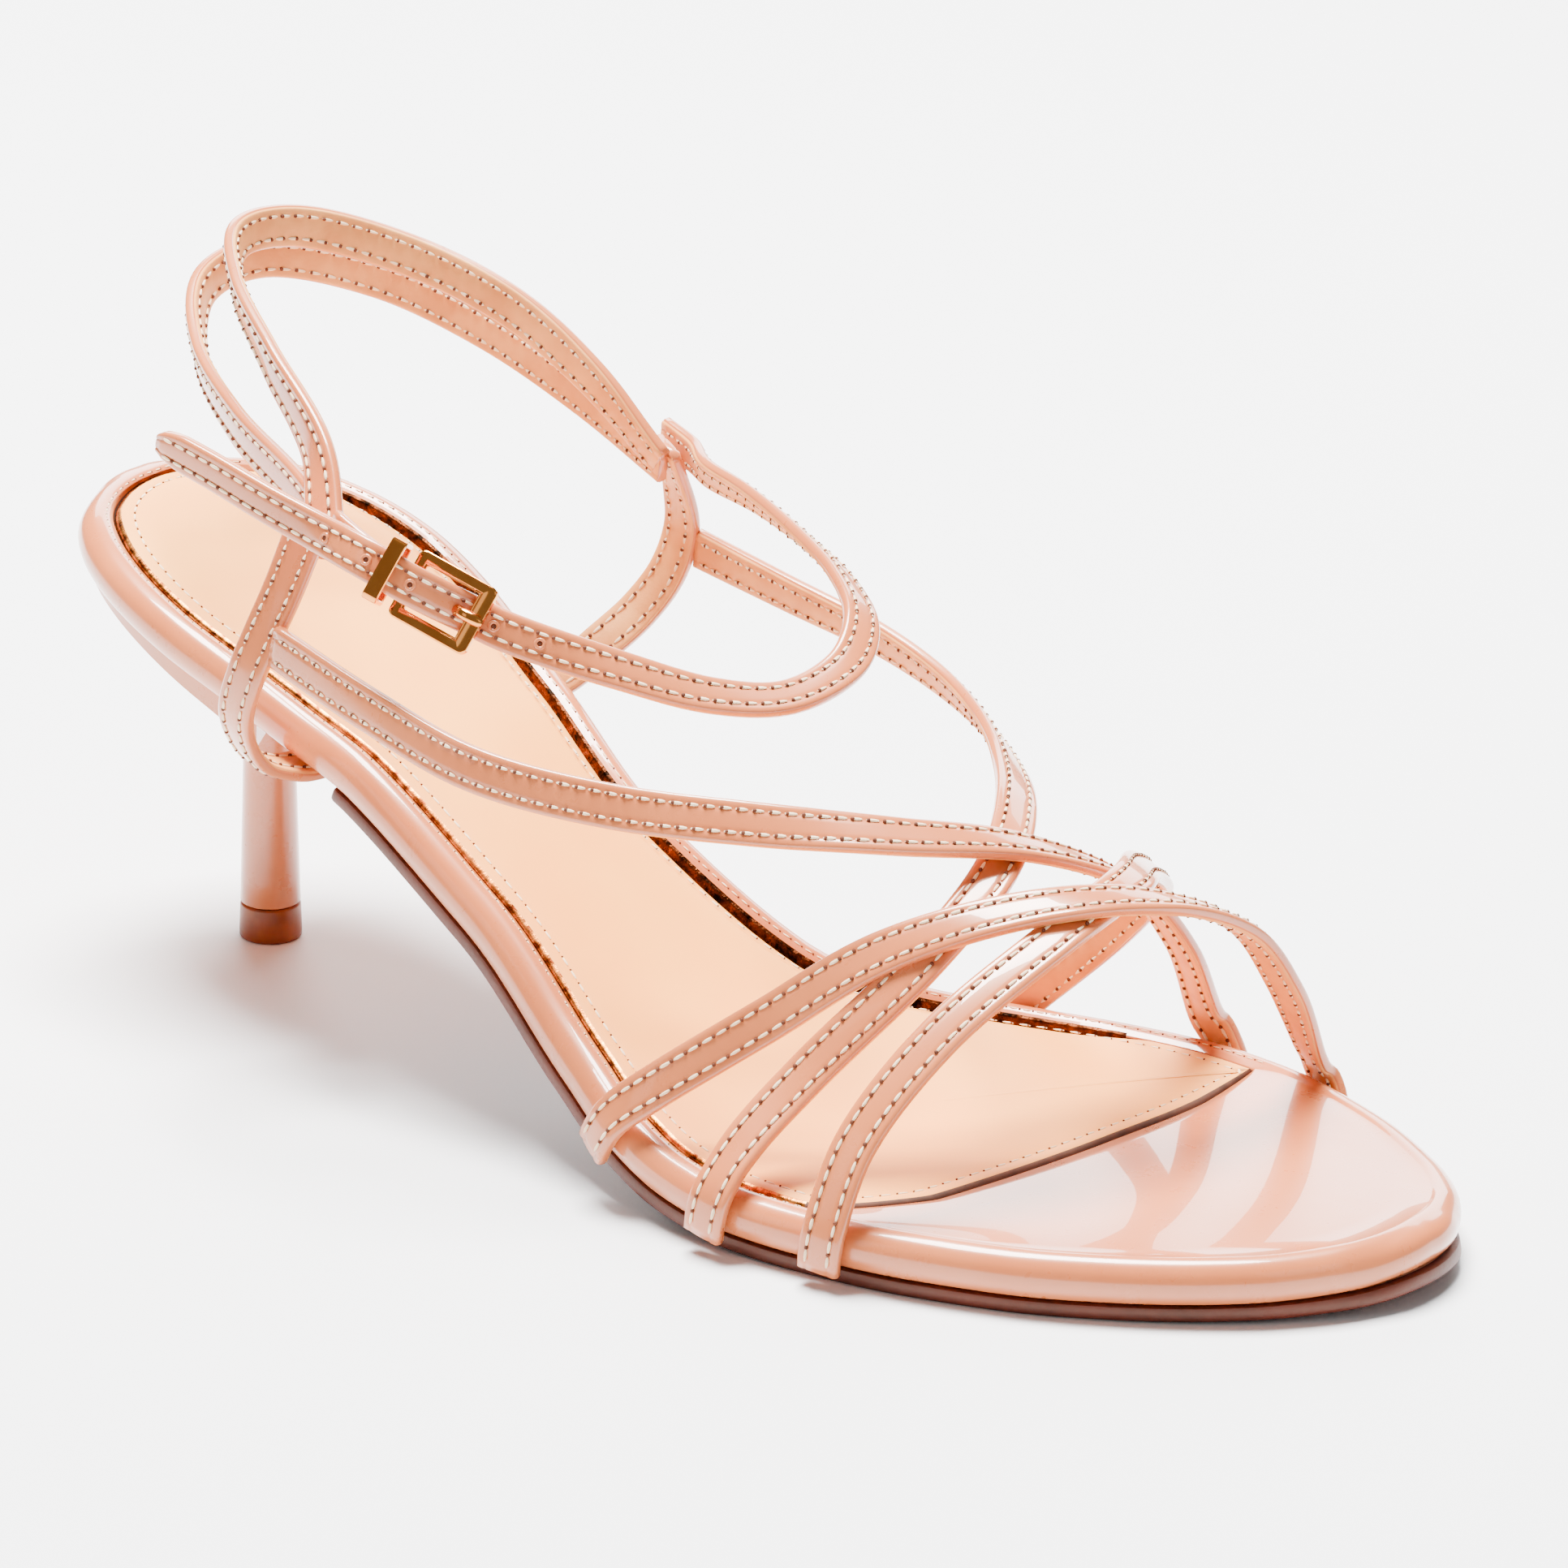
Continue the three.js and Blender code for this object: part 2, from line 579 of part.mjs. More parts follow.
// The heel: a seat that follows the board's underside, flaring into a slim round column.
function heelGeometry() {
  const front = alongToAngle(HEEL_FRONT_ALONG);
  const sideCount = HEEL_POINTS - 8;
  const seat = Array.from({ length: HEEL_POINTS }, (_, i) => {
    if (i <= sideCount) {
      const angle = front - (2 * front * i) / sideCount;
      return besideFeather(angle, -0.6, -LAYER_GAP);
    }
    const share = (i - sideCount) / (HEEL_POINTS - sideCount);
    const a = besideFeather(-front, -0.6, -LAYER_GAP);
    const b = besideFeather(front, -0.6, -LAYER_GAP);
    const hollow = 7 * Math.sin(Math.PI * share);
    const y = THREE.MathUtils.lerp(a.y, b.y, share) + hollow;
    const x = THREE.MathUtils.lerp(a.x, b.x, share);
    return new THREE.Vector3(x, y, soleZ(y)).addScaledVector(soleUp(y), -LAYER_GAP);
  });
  const onSeat = (x, y) =>
    new THREE.Vector3(x, y, soleZ(y)).addScaledVector(soleUp(y), -LAYER_GAP);
  const toward = (share, drop) =>
    seat.map((p) => {
      const x = THREE.MathUtils.lerp(p.x, HEEL_X, share);
      const y = THREE.MathUtils.lerp(p.y, HEEL_Y, share);
      const q = onSeat(x, y);
      q.z -= drop;
      return q;
    });
  const wall = (p) => 0.5 + 3.2 * THREE.MathUtils.clamp((HEEL_BACK_Y - p.y) / 50, 0, 1);
  const circle = (radius, z) =>
    seat.map((p) => {
      const angle = Math.atan2(p.y - HEEL_Y, p.x - HEEL_X);
      const x = HEEL_X + radius * Math.cos(angle);
      const y = HEEL_Y + radius * Math.sin(angle);
      return new THREE.Vector3(x, y, z);
    });
  const flare = (share, drop) =>
    seat.map((p, i) => {
      const q = toward(share, 0)[i];
      q.z -= wall(p) + drop;
      return q;
    });
  return ringsToGeometry([
    seat.map(() => onSeat(HEEL_X, HEEL_Y)),
    toward(0.5, 0),
    seat,
    seat.map((p) => new THREE.Vector3(p.x, p.y, p.z - wall(p))),
    flare(0.3, 0.5),
    flare(0.6, 1.6),
    circle(6.2, COLUMN_TOP_Z + 5.2),
    circle(4.6, COLUMN_TOP_Z + 2.4),
    circle(COLUMN_TOP_RADIUS, COLUMN_TOP_Z - 2),
    circle(COLUMN_TOP_RADIUS + 0.1, 30),
    circle(COLUMN_BOTTOM_RADIUS, TIP_HEIGHT + LAYER_GAP),
    seat.map(() => new THREE.Vector3(HEEL_X, HEEL_Y, TIP_HEIGHT + LAYER_GAP)),
  ]);
}

function tipGeometry() {
  const profile = [
    new THREE.Vector2(0, 0),
    new THREE.Vector2(TIP_RADIUS - 0.3, 0),
    new THREE.Vector2(TIP_RADIUS, 0.5),
    new THREE.Vector2(COLUMN_BOTTOM_RADIUS, TIP_HEIGHT),
    new THREE.Vector2(0, TIP_HEIGHT),
  ];
  return mergeVertices(bareLathe(profile, 28), 1e-4);
}

// A lathe turned so that its axis stands along Z.
function bareLathe(profile, segments) {
  const lathe = new THREE.LatheGeometry(profile, segments);
  lathe.deleteAttribute("normal");
  lathe.deleteAttribute("uv");
  lathe.rotateX(Math.PI / 2);
  return lathe;
}

// The outward direction at a point of a strap: away from the nearest place of the foot's middle.
function outwardAt(point) {
  const nearest = new THREE.Vector3();
  let best = Infinity;
  FOOT_MIDDLE.slice(1).forEach((row, i) => {
    const line = new THREE.Line3(spot(FOOT_MIDDLE[i]), spot(row));
    const on = line.closestPointToPoint(point, true, new THREE.Vector3());
    if (on.distanceTo(point) < best) {
      best = on.distanceTo(point);
      nearest.copy(on);
    }
  });
  return point.clone().sub(nearest).normalize();
}

// A flat strap with softened edges along a centre line; its first end can be narrowed to a tip.
function strapGeometry(points, sizes = {}) {
  const { width = STRAP_WIDTH, thickness = STRAP_THICKNESS, step = STRAP_STEP } = sizes;
  const { tip = 1, outward = outwardAt } = sizes;
  const curve = new THREE.CatmullRomCurve3(points, false, "centripetal");
  const steps = Math.ceil(curve.getLength() / step);
  const half = width / 2;
  const thick = thickness / 2;
  const section = [
    [half, thick - STRAP_EDGE],
    [half - STRAP_EDGE, thick],
    [-half + STRAP_EDGE, thick],
    [-half, thick - STRAP_EDGE],
    [-half, -thick + STRAP_EDGE],
    [-half + STRAP_EDGE, -thick],
    [half - STRAP_EDGE, -thick],
    [half, -thick + STRAP_EDGE],
  ];
  const shares = Array.from({ length: steps + 1 }, (_, i) => i / steps);
  const rings = shares.map((share) => {
    const at = curve.getPointAt(share);
    const along = curve.getTangentAt(share);
    const out = outward(at);
    out.addScaledVector(along, -out.dot(along)).normalize();
    const across = out.clone().cross(along);
    const narrow = share === 0 ? tip : 1;
    return section.map(([w, t]) =>
      at.clone().addScaledVector(across, w * narrow).addScaledVector(out, t),
    );
  });
  const capAt = (ring) => {
    const middle = ring.reduce((sum, p) => sum.add(p), new THREE.Vector3());
    middle.divideScalar(ring.length);
    return ring.map(() => middle);
  };
  return ringsToGeometry([capAt(rings[0]), ...rings, capAt(rings[rings.length - 1])]);
}

// Where a strap leaves the sole: outside the rim, from just above the outsole, leaning as it rises.
function edgeRows({ side, along, lean }) {
  return STRAP_END.map(({ lift, inset }) => {
    const turn = alongToAngle(along + (lean * lift) / LENGTH);
    const angle = side === "lateral" ? turn : 2 * Math.PI - turn;
    return besideFeather(angle, STRAP_STAND_OFF - inset, lift);
  });
}

// The direction a strap's face looks near the rim, where it lies flat against the rim.
function rimOutward({ side, along }) {
  const angle = side === "lateral" ? alongToAngle(along) : 2 * Math.PI - alongToAngle(along);
  return besideFeather(angle, 1, 0).sub(besideFeather(angle, 0, 0)).normalize();
}

// A toe strap's face follows the foot, and turns flat against the rim at each end.
function foreOutward(ends) {
  const rims = ends.filter(Boolean).map((end) => ({ at: edgeRows(end)[1], out: rimOutward(end) }));
  return (point) => {
    const out = outwardAt(point);
    rims.forEach((rim) => {
      const far = THREE.MathUtils.clamp((point.distanceTo(rim.at) - 5) / 14, 0, 1);
      out.lerp(rim.out, 1 - far);
    });
    return out.normalize();
  };
}

// The four straps over the toes, both posts and both heel straps, joined where they cross.
function upperGeometry() {
  const fore = Object.values(FORE_STRAPS).map(({ from, to, rows }) => {
    const end = to ? edgeRows(to).reverse() : [];
    const points = [...edgeRows(from), ...rows.map(spot), ...end];
    return strapGeometry(points, { outward: foreOutward([from, to]) });
  });
  const rear = [POSTS.lateral, POSTS.medial, HEEL_STRAPS.upper, HEEL_STRAPS.lower];
  const solids = [...fore, ...rear.map((rows) => strapGeometry(rows.map(spot)))].map(toSolid);
  return toGeometry(solids.reduce((whole, solid) => whole.add(solid)));
}

// The buckle's own axes: X forward along the strap, Y across it, Z out of it.
const buckleOut = BUCKLE_OUT.clone()
  .addScaledVector(BUCKLE_FORWARD, -BUCKLE_OUT.dot(BUCKLE_FORWARD))
  .normalize();
const buckleAcross = buckleOut.clone().cross(BUCKLE_FORWARD);
const buckleAt = spot(BUCKLE_PLACE);
const buckleTurn = new THREE.Matrix4().makeBasis(BUCKLE_FORWARD, buckleAcross, buckleOut);
const atBuckle = ({ forward, out, across = 0 }) =>
  new THREE.Vector3(forward, across, out).applyMatrix4(buckleTurn).add(buckleAt);

// The ankle strap: free end, through the buckle, round the front, to the inner joint.
function ankleGeometry() {
  const points = [
    ...ANKLE_TAIL.map(spot),
    ...ANKLE_THROUGH_BUCKLE.map(atBuckle),
    ...ANKLE_FRONT.map(spot),
  ];
  const outward = (point) => {
    const near = Math.max(0, 1 - Math.max(0, point.distanceTo(buckleAt) - 10) / 14);
    return outwardAt(point).lerp(buckleOut, near).normalize();
  };
  const sizes = { width: ANKLE_STRAP_WIDTH, tip: 0.55, outward };
  const strap = toSolid(strapGeometry(points, sizes));
  const slot = new THREE.Shape();
  slot.absarc(HOLE_FORWARD.to, 0, HOLE_RADIUS, -Math.PI / 2, Math.PI / 2);
  slot.absarc(HOLE_FORWARD.from, 0, HOLE_RADIUS, Math.PI / 2, (3 * Math.PI) / 2);
  const cutter = new THREE.ExtrudeGeometry(slot, { depth: 8, bevelEnabled: false, curveSegments: 6 });
  cutter.translate(0, 0, -4).applyMatrix4(buckleTurn);
  cutter.translate(buckleAt.x, buckleAt.y, buckleAt.z);
  return toGeometry(strap.subtract(toSolid(cutter)));
}

// A bar as a closed round tube along points given in the buckle's axes.
function rodGeometry(points, radius, sides = 8) {
  const curve = new THREE.CatmullRomCurve3(points, false, "centripetal");
  const steps = Math.max(1, Math.ceil(curve.getLength() / 0.9));
  const rings = Array.from({ length: steps + 1 }, (_, i) => {
    const at = curve.getPointAt(i / steps);
    const along = curve.getTangentAt(i / steps);
    const across = new THREE.Vector3(0, 1, 0);
    const out = along.clone().cross(across).normalize();
    return Array.from({ length: sides }, (_, k) => {
      const angle = (2 * Math.PI * k) / sides;
      return at
        .clone()
        .addScaledVector(across, radius * Math.cos(angle))
        .addScaledVector(out, radius * Math.sin(angle));
    });
  });
  const cap = (p) => rings[0].map(() => p.clone());
  return ringsToGeometry([cap(points[0]), ...rings, cap(points[points.length - 1])]);
}

// The strip behind the buckle, with the loop that its back bar lies in and a notch for the prong.
function stripGeometry() {
  const points = STRIP_LINE.map(({ forward, out, across }) => new THREE.Vector3(forward, across, out));
  const outward = (point) => {
    const share = THREE.MathUtils.clamp((-8 - point.x) / 10, 0, 1);
    return new THREE.Vector3(0, 0, 1).lerp(STRIP_END_OUT, share).normalize();
  };
  const sizes = { width: STRIP_WIDTH, thickness: STRIP_THICKNESS, step: 3, outward };
  const band = toSolid(strapGeometry(points, sizes));
  const eye = new THREE.Shape();
  const radius = BACK_BAR_RADIUS + LOOP_CLEARANCE;
  eye.absarc(BACK_BAR_FORWARD, BACK_BAR_OUT, radius + LOOP_WALL, 0, 2 * Math.PI);
  const bore = new THREE.Shape();
  bore.absarc(BACK_BAR_FORWARD, BACK_BAR_OUT, radius, 0, 2 * Math.PI);
  const notch = new THREE.BoxGeometry(4.6, 2 * (PRONG_RADIUS + LOOP_CLEARANCE), 6);
  notch.translate(BACK_BAR_FORWARD + 0.4, 0, BACK_BAR_OUT);
  const hole = toSolid(uprightExtrusion(bore, STRIP_WIDTH + 2));
  const whole = band.add(toSolid(uprightExtrusion(eye, STRIP_WIDTH)));
  return toGeometry(whole.subtract(hole).subtract(toSolid(notch)));
}

// An outline drawn forward and out, made as wide as asked across the strap.
function uprightExtrusion(shape, width) {
  const body = new THREE.ExtrudeGeometry(shape, {
    depth: width,
    bevelEnabled: false,
    curveSegments: 12,
  });
  body.translate(0, 0, -width / 2);
  body.rotateX(Math.PI / 2);
  return body;
}

// The buckle frame: round back bar, two arms that rise to the front bar.
function frameGeometry() {
  const half = BUCKLE_HEIGHT / 2 - BAR / 2;
  const front = BUCKLE_LENGTH / 2 - BAR / 2;
  const slope = new THREE.Vector3(front - BACK_BAR_FORWARD, 0, FRONT_BAR_OUT - BACK_BAR_OUT);
  const length = slope.length();
  const tilt = -Math.atan2(slope.z, slope.x);
  const arm = (across) => {
    const box = new THREE.BoxGeometry(length + BAR, BAR, BAR);
    box.rotateY(tilt);
    box.translate((front + BACK_BAR_FORWARD) / 2, across, (FRONT_BAR_OUT + BACK_BAR_OUT) / 2);
    return toSolid(box);
  };
  const bar = new THREE.BoxGeometry(FRONT_BAR_WIDTH, BUCKLE_HEIGHT, BAR);
  bar.translate((length + BAR - FRONT_BAR_WIDTH) / 2, 0, 0);
  bar.rotateY(tilt);
  bar.translate((front + BACK_BAR_FORWARD) / 2, 0, (FRONT_BAR_OUT + BACK_BAR_OUT) / 2);
  const back = new THREE.CylinderGeometry(BACK_BAR_RADIUS, BACK_BAR_RADIUS, 2 * half, 12);
  back.translate(BACK_BAR_FORWARD, 0, BACK_BAR_OUT);
  return toGeometry(arm(half).add(arm(-half)).add(toSolid(bar)).add(toSolid(back)));
}

// The prong: a ring round the back bar and a rod through the strap that rests on the front bar.
function prongGeometry() {
  const rod = toSolid(
    rodGeometry(
      PRONG_LINE.map(({ forward, out }) => new THREE.Vector3(forward, 0, out)),
      PRONG_RADIUS,
    ),
  );
  const outer = new THREE.Shape();
  const inner = BACK_BAR_RADIUS + LOOP_CLEARANCE;
  outer.absarc(BACK_BAR_FORWARD, BACK_BAR_OUT, inner + 0.6, 0, 2 * Math.PI);
  const bore = new THREE.Path();
  bore.absarc(BACK_BAR_FORWARD, BACK_BAR_OUT, inner, 0, 2 * Math.PI, true);
  outer.holes.push(bore);
  return toGeometry(rod.add(toSolid(uprightExtrusion(outer, 2 * PRONG_RADIUS))));
}

// The keeper: a flat metal loop round the strap's free end and the strip.
function keeperGeometry() {
  const low = -2.35;
  const high = 3.75;
  const halfAcross = BUCKLE_HEIGHT / 2 - 0.4;
  const box = new THREE.BoxGeometry(KEEPER_WIDTH, 2 * halfAcross, high - low + 2 * KEEPER_WALL);
  box.translate(0, 0, (high + low) / 2);
  const room = new THREE.BoxGeometry(KEEPER_WIDTH + 2, 2 * (halfAcross - KEEPER_WALL), high - low);
  room.translate(0, 0, (high + low) / 2);
  return toGeometry(toSolid(box).subtract(toSolid(room)));
}

function material(colour, roughness, metalness = 0) {
  return new THREE.MeshStandardMaterial({ color: colour, roughness, metalness });
}

function named(name, geometry, finish) {
  const mesh = new THREE.Mesh(geometry, finish);
  mesh.name = name;
  return mesh;
}

const patent = material(COLOURS.patent, 0.12);
const gold = material(COLOURS.gold, 0.15, 1);

const sandal = new THREE.Group();
sandal.add(named("insole_board", boardGeometry(), patent));
sandal.add(named("insole_sock", sockGeometry(), material(COLOURS.sock, 0.45)));
sandal.add(named("outsole", outsoleGeometry(), material(COLOURS.outsole, 0.5)));
sandal.add(named("heel", heelGeometry(), patent));

const tip = named("heel_tip", tipGeometry(), material(COLOURS.amber, 0.3));
tip.position.set(HEEL_X, HEEL_Y, 0);
sandal.add(tip);

sandal.add(named("upper_straps", upperGeometry(), patent));
sandal.add(named("ankle_strap", ankleGeometry(), patent));

const buckle = new THREE.Group();
buckle.applyMatrix4(buckleTurn);
buckle.position.copy(buckleAt);
buckle.add(named("buckle_strip", stripGeometry(), patent));
buckle.add(named("buckle_frame", frameGeometry(), gold));
buckle.add(named("buckle_prong", prongGeometry(), gold));
const keeper = named("buckle_keeper", keeperGeometry(), gold);
keeper.position.set(KEEPER_FORWARD, 0, 0);
buckle.add(keeper);
sandal.add(buckle);
sandal.position.x = HEEL_TO_TOE_X;

export default sandal;
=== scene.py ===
"""Looks of a women's strappy heeled sandal: the right shoe in nude pink patent leather.

Lengths are metres in the row frame: the toe points to -Y, the outer side of the foot is -X
and the floor is Z 0. The sizes and tables repeat the ones that the solids were made from.
"""

import logging
import math
from dataclasses import dataclass, field
from enum import Enum
from typing import Callable, Sequence

import bmesh
import bpy
import numpy as np
from mathutils import Matrix, Vector


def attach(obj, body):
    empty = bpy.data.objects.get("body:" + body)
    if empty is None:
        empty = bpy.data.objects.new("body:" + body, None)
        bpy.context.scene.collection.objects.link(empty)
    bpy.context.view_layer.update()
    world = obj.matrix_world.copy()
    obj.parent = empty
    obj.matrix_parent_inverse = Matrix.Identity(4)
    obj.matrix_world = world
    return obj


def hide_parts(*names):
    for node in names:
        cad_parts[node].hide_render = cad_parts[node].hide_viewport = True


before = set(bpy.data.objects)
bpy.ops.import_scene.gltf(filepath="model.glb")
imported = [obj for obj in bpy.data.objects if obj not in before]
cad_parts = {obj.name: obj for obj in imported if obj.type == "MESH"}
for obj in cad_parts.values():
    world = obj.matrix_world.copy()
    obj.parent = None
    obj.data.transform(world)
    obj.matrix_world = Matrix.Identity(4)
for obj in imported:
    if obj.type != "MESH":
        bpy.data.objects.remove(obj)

LOG = logging.getLogger("sandal")
MM = 0.001
BODY = "root"

# Looks that every finish shares: the warm cast of its reflections and how deep light sinks
REFLECTION_TINT = (1.0, 0.86, 0.72, 1.0)
LIGHT_DEPTH = 1.5 * MM

# Driving sizes of the shoe
LENGTH = 0.230
BALL_WIDTH = 0.085
HEEL_RISE = 0.059

# Sizes of the sole
HEEL_BACK_Y = LENGTH / 2
TREAD = 2.2 * MM
HEEL_TO_TOE_X = 5.82 * MM
RIM_END_TUCK = 1.2 * MM
SOCK_FLOOR = 3.2 * MM
SOCK_TOP = 6.1 * MM
GROOVE_INSET = 3.4 * MM
CAD_TURNS = 64

# The feather line: share of the way from heel to toe, half widths in percent of the ball width
# on the outer and inner side, and rise above the tread in percent of the heel's rise.
SOLE = (
    (0, 0, 0, 100),
    (0.02, 17.2, 14.8, 97.8),
    (0.05, 25.4, 23.8, 95.3),
    (0.1, 32.2, 29.6, 90.2),
    (0.15, 35.5, 30.1, 84.6),
    (0.2, 36.5, 26.6, 78.5),
    (0.25, 36.9, 21.2, 71.5),
    (0.3, 37.2, 15.5, 63.9),
    (0.4, 40.4, 8, 42.2),
    (0.5, 47.9, 12.4, 18),
    (0.55, 52.7, 21.2, 8.6),
    (0.6, 56, 31.1, 3.1),
    (0.65, 57.2, 38.1, 0.7),
    (0.7, 56, 42.2, 0),
    (0.76, 53.2, 43.5, 0),
    (0.82, 47.8, 40.9, 0),
    (0.88, 39.3, 34.6, 0.2),
    (0.94, 27.3, 24.7, 0.8),
    (0.98, 15.2, 14.6, 2),
    (1, 0, 0, 3.7),
)

# The slanting front edge of the sock: share across, x in percent of width, y in percent
# of length.
SOCK_FRONT = (
    (0, -51.2, -21.5),
    (0.1, -42.4, -23.6),
    (0.28, -26.9, -25.3),
    (0.59, 1.1, -27.3),
    (0.86, 24.5, -28.3),
    (1, 38.4, -28.1),
)
FRONT_LATERAL_ALONG = 0.715
FRONT_MEDIAL_ALONG = 0.782

# Points below are x in percent of the ball width, y of the length and z of the heel's rise.
FOOT_MIDDLE = (
    (-4.7, -48.7, 10.2),
    (-4.7, -26.1, 23.7),
    (-3.5, -8.7, 44.1),
    (-2.4, 8.7, 74.6),
    (-1.2, 21.7, 105.1),
    (-1.2, 24.3, 135.6),
    (-1.2, 25.2, 254.2),
)


class Side(Enum):
    """A side of the foot."""

    LATERAL = "lateral"
    MEDIAL = "medial"


class Slot(Enum):
    """The record's material slots."""

    PATENT = "patent_leather"
    SOCK = "sock_leather"
    OUTSOLE = "outsole"
    TIP = "heel_tip"
    GOLD = "gold_metal"


def monotone(places: Sequence[float], values: Sequence[float], at: np.ndarray) -> np.ndarray:
    """Interpolate one column of a table without overshoot.

    Args:
        places: The column that rises.
        values: The column that is read.
        at: Where to read it.

    Returns:
        The values at those places.
    """
    x = np.asarray(places, float)
    v = np.asarray(values, float)
    h = np.diff(x)
    s = np.diff(v) / h
    m = np.zeros_like(v)
    m[0], m[-1] = s[0], s[-1]
    same = s[:-1] * s[1:] > 0
    w1 = 2 * h[1:] + h[:-1]
    w2 = h[1:] + 2 * h[:-1]
    before = np.where(same, s[:-1], 1.0)
    after = np.where(same, s[1:], 1.0)
    m[1:-1] = np.where(same, (w1 + w2) / (w1 / before + w2 / after), 0.0)
    q = np.clip(np.asarray(at, float), x[0], x[-1])
    i = np.clip(np.searchsorted(x, q, side="right") - 1, 0, len(h) - 1)
    t = (q - x[i]) / h[i]
    return (
        (1 + 2 * t) * (1 - t) ** 2 * v[i]
        + t * (1 - t) ** 2 * h[i] * m[i]
        + t * t * (3 - 2 * t) * v[i + 1]
        + t * t * (t - 1) * h[i] * m[i + 1]
    )


def unit(vectors: np.ndarray) -> np.ndarray:
    """Return the vectors at length one."""
    return vectors / np.maximum(np.linalg.norm(vectors, axis=-1, keepdims=True), 1e-12)


def spots(rows: Sequence[Sequence[float]]) -> np.ndarray:
    """Turn percent rows into points in metres, before the shift to the box's middle."""
    return np.asarray(rows, float) / 100 * np.array([BALL_WIDTH, LENGTH, HEEL_RISE])


def centripetal(points: np.ndarray, count: int = 24) -> np.ndarray:
    """Draw a centripetal Catmull-Rom curve through points.

    Args:
        points: The points that the curve passes.
        count: How many steps each stretch has.

    Returns:
        The curve's points, unevenly spaced.
    """
    p = np.vstack([2 * points[0] - points[1], points, 2 * points[-1] - points[-2]])
    knots = np.concatenate([[0], np.cumsum(np.linalg.norm(np.diff(p, axis=0), axis=1) ** 0.5)])
    out = []
    for i in range(1, len(p) - 2):
        t0, t1, t2, t3 = knots[i - 1 : i + 3]
        t = np.linspace(t1, t2, count, endpoint=False)[:, None]
        a1 = (t1 - t) / (t1 - t0) * p[i - 1] + (t - t0) / (t1 - t0) * p[i]
        a2 = (t2 - t) / (t2 - t1) * p[i] + (t - t1) / (t2 - t1) * p[i + 1]
        a3 = (t3 - t) / (t3 - t2) * p[i + 1] + (t - t2) / (t3 - t2) * p[i + 2]
        b1 = (t2 - t) / (t2 - t0) * a1 + (t - t0) / (t2 - t0) * a2
        b2 = (t3 - t) / (t3 - t1) * a2 + (t - t1) / (t3 - t1) * a3
        out.append((t2 - t) / (t2 - t1) * b1 + (t - t1) / (t2 - t1) * b2)
    out.append(points[-1:])
    return np.vstack(out)


def walked(points: np.ndarray) -> np.ndarray:
    """Return the distance along a line to each of its points, from 0.

    Args:
        points: The line's points, a row each.

    Returns:
        One distance per point.
    """
    return np.concatenate([[0], np.cumsum(np.linalg.norm(np.diff(points, axis=0), axis=1))])


def even(points: np.ndarray, step: float) -> np.ndarray:
    """Space a curve's points evenly.

    Args:
        points: A dense curve.
        step: The wanted spacing in metres.

    Returns:
        Evenly spaced points, both ends kept.
    """
    lengths = walked(points)
    at = np.linspace(0, lengths[-1], max(2, math.ceil(lengths[-1] / step)) + 1)
    return np.stack([np.interp(at, lengths, points[:, k]) for k in range(3)], axis=1)


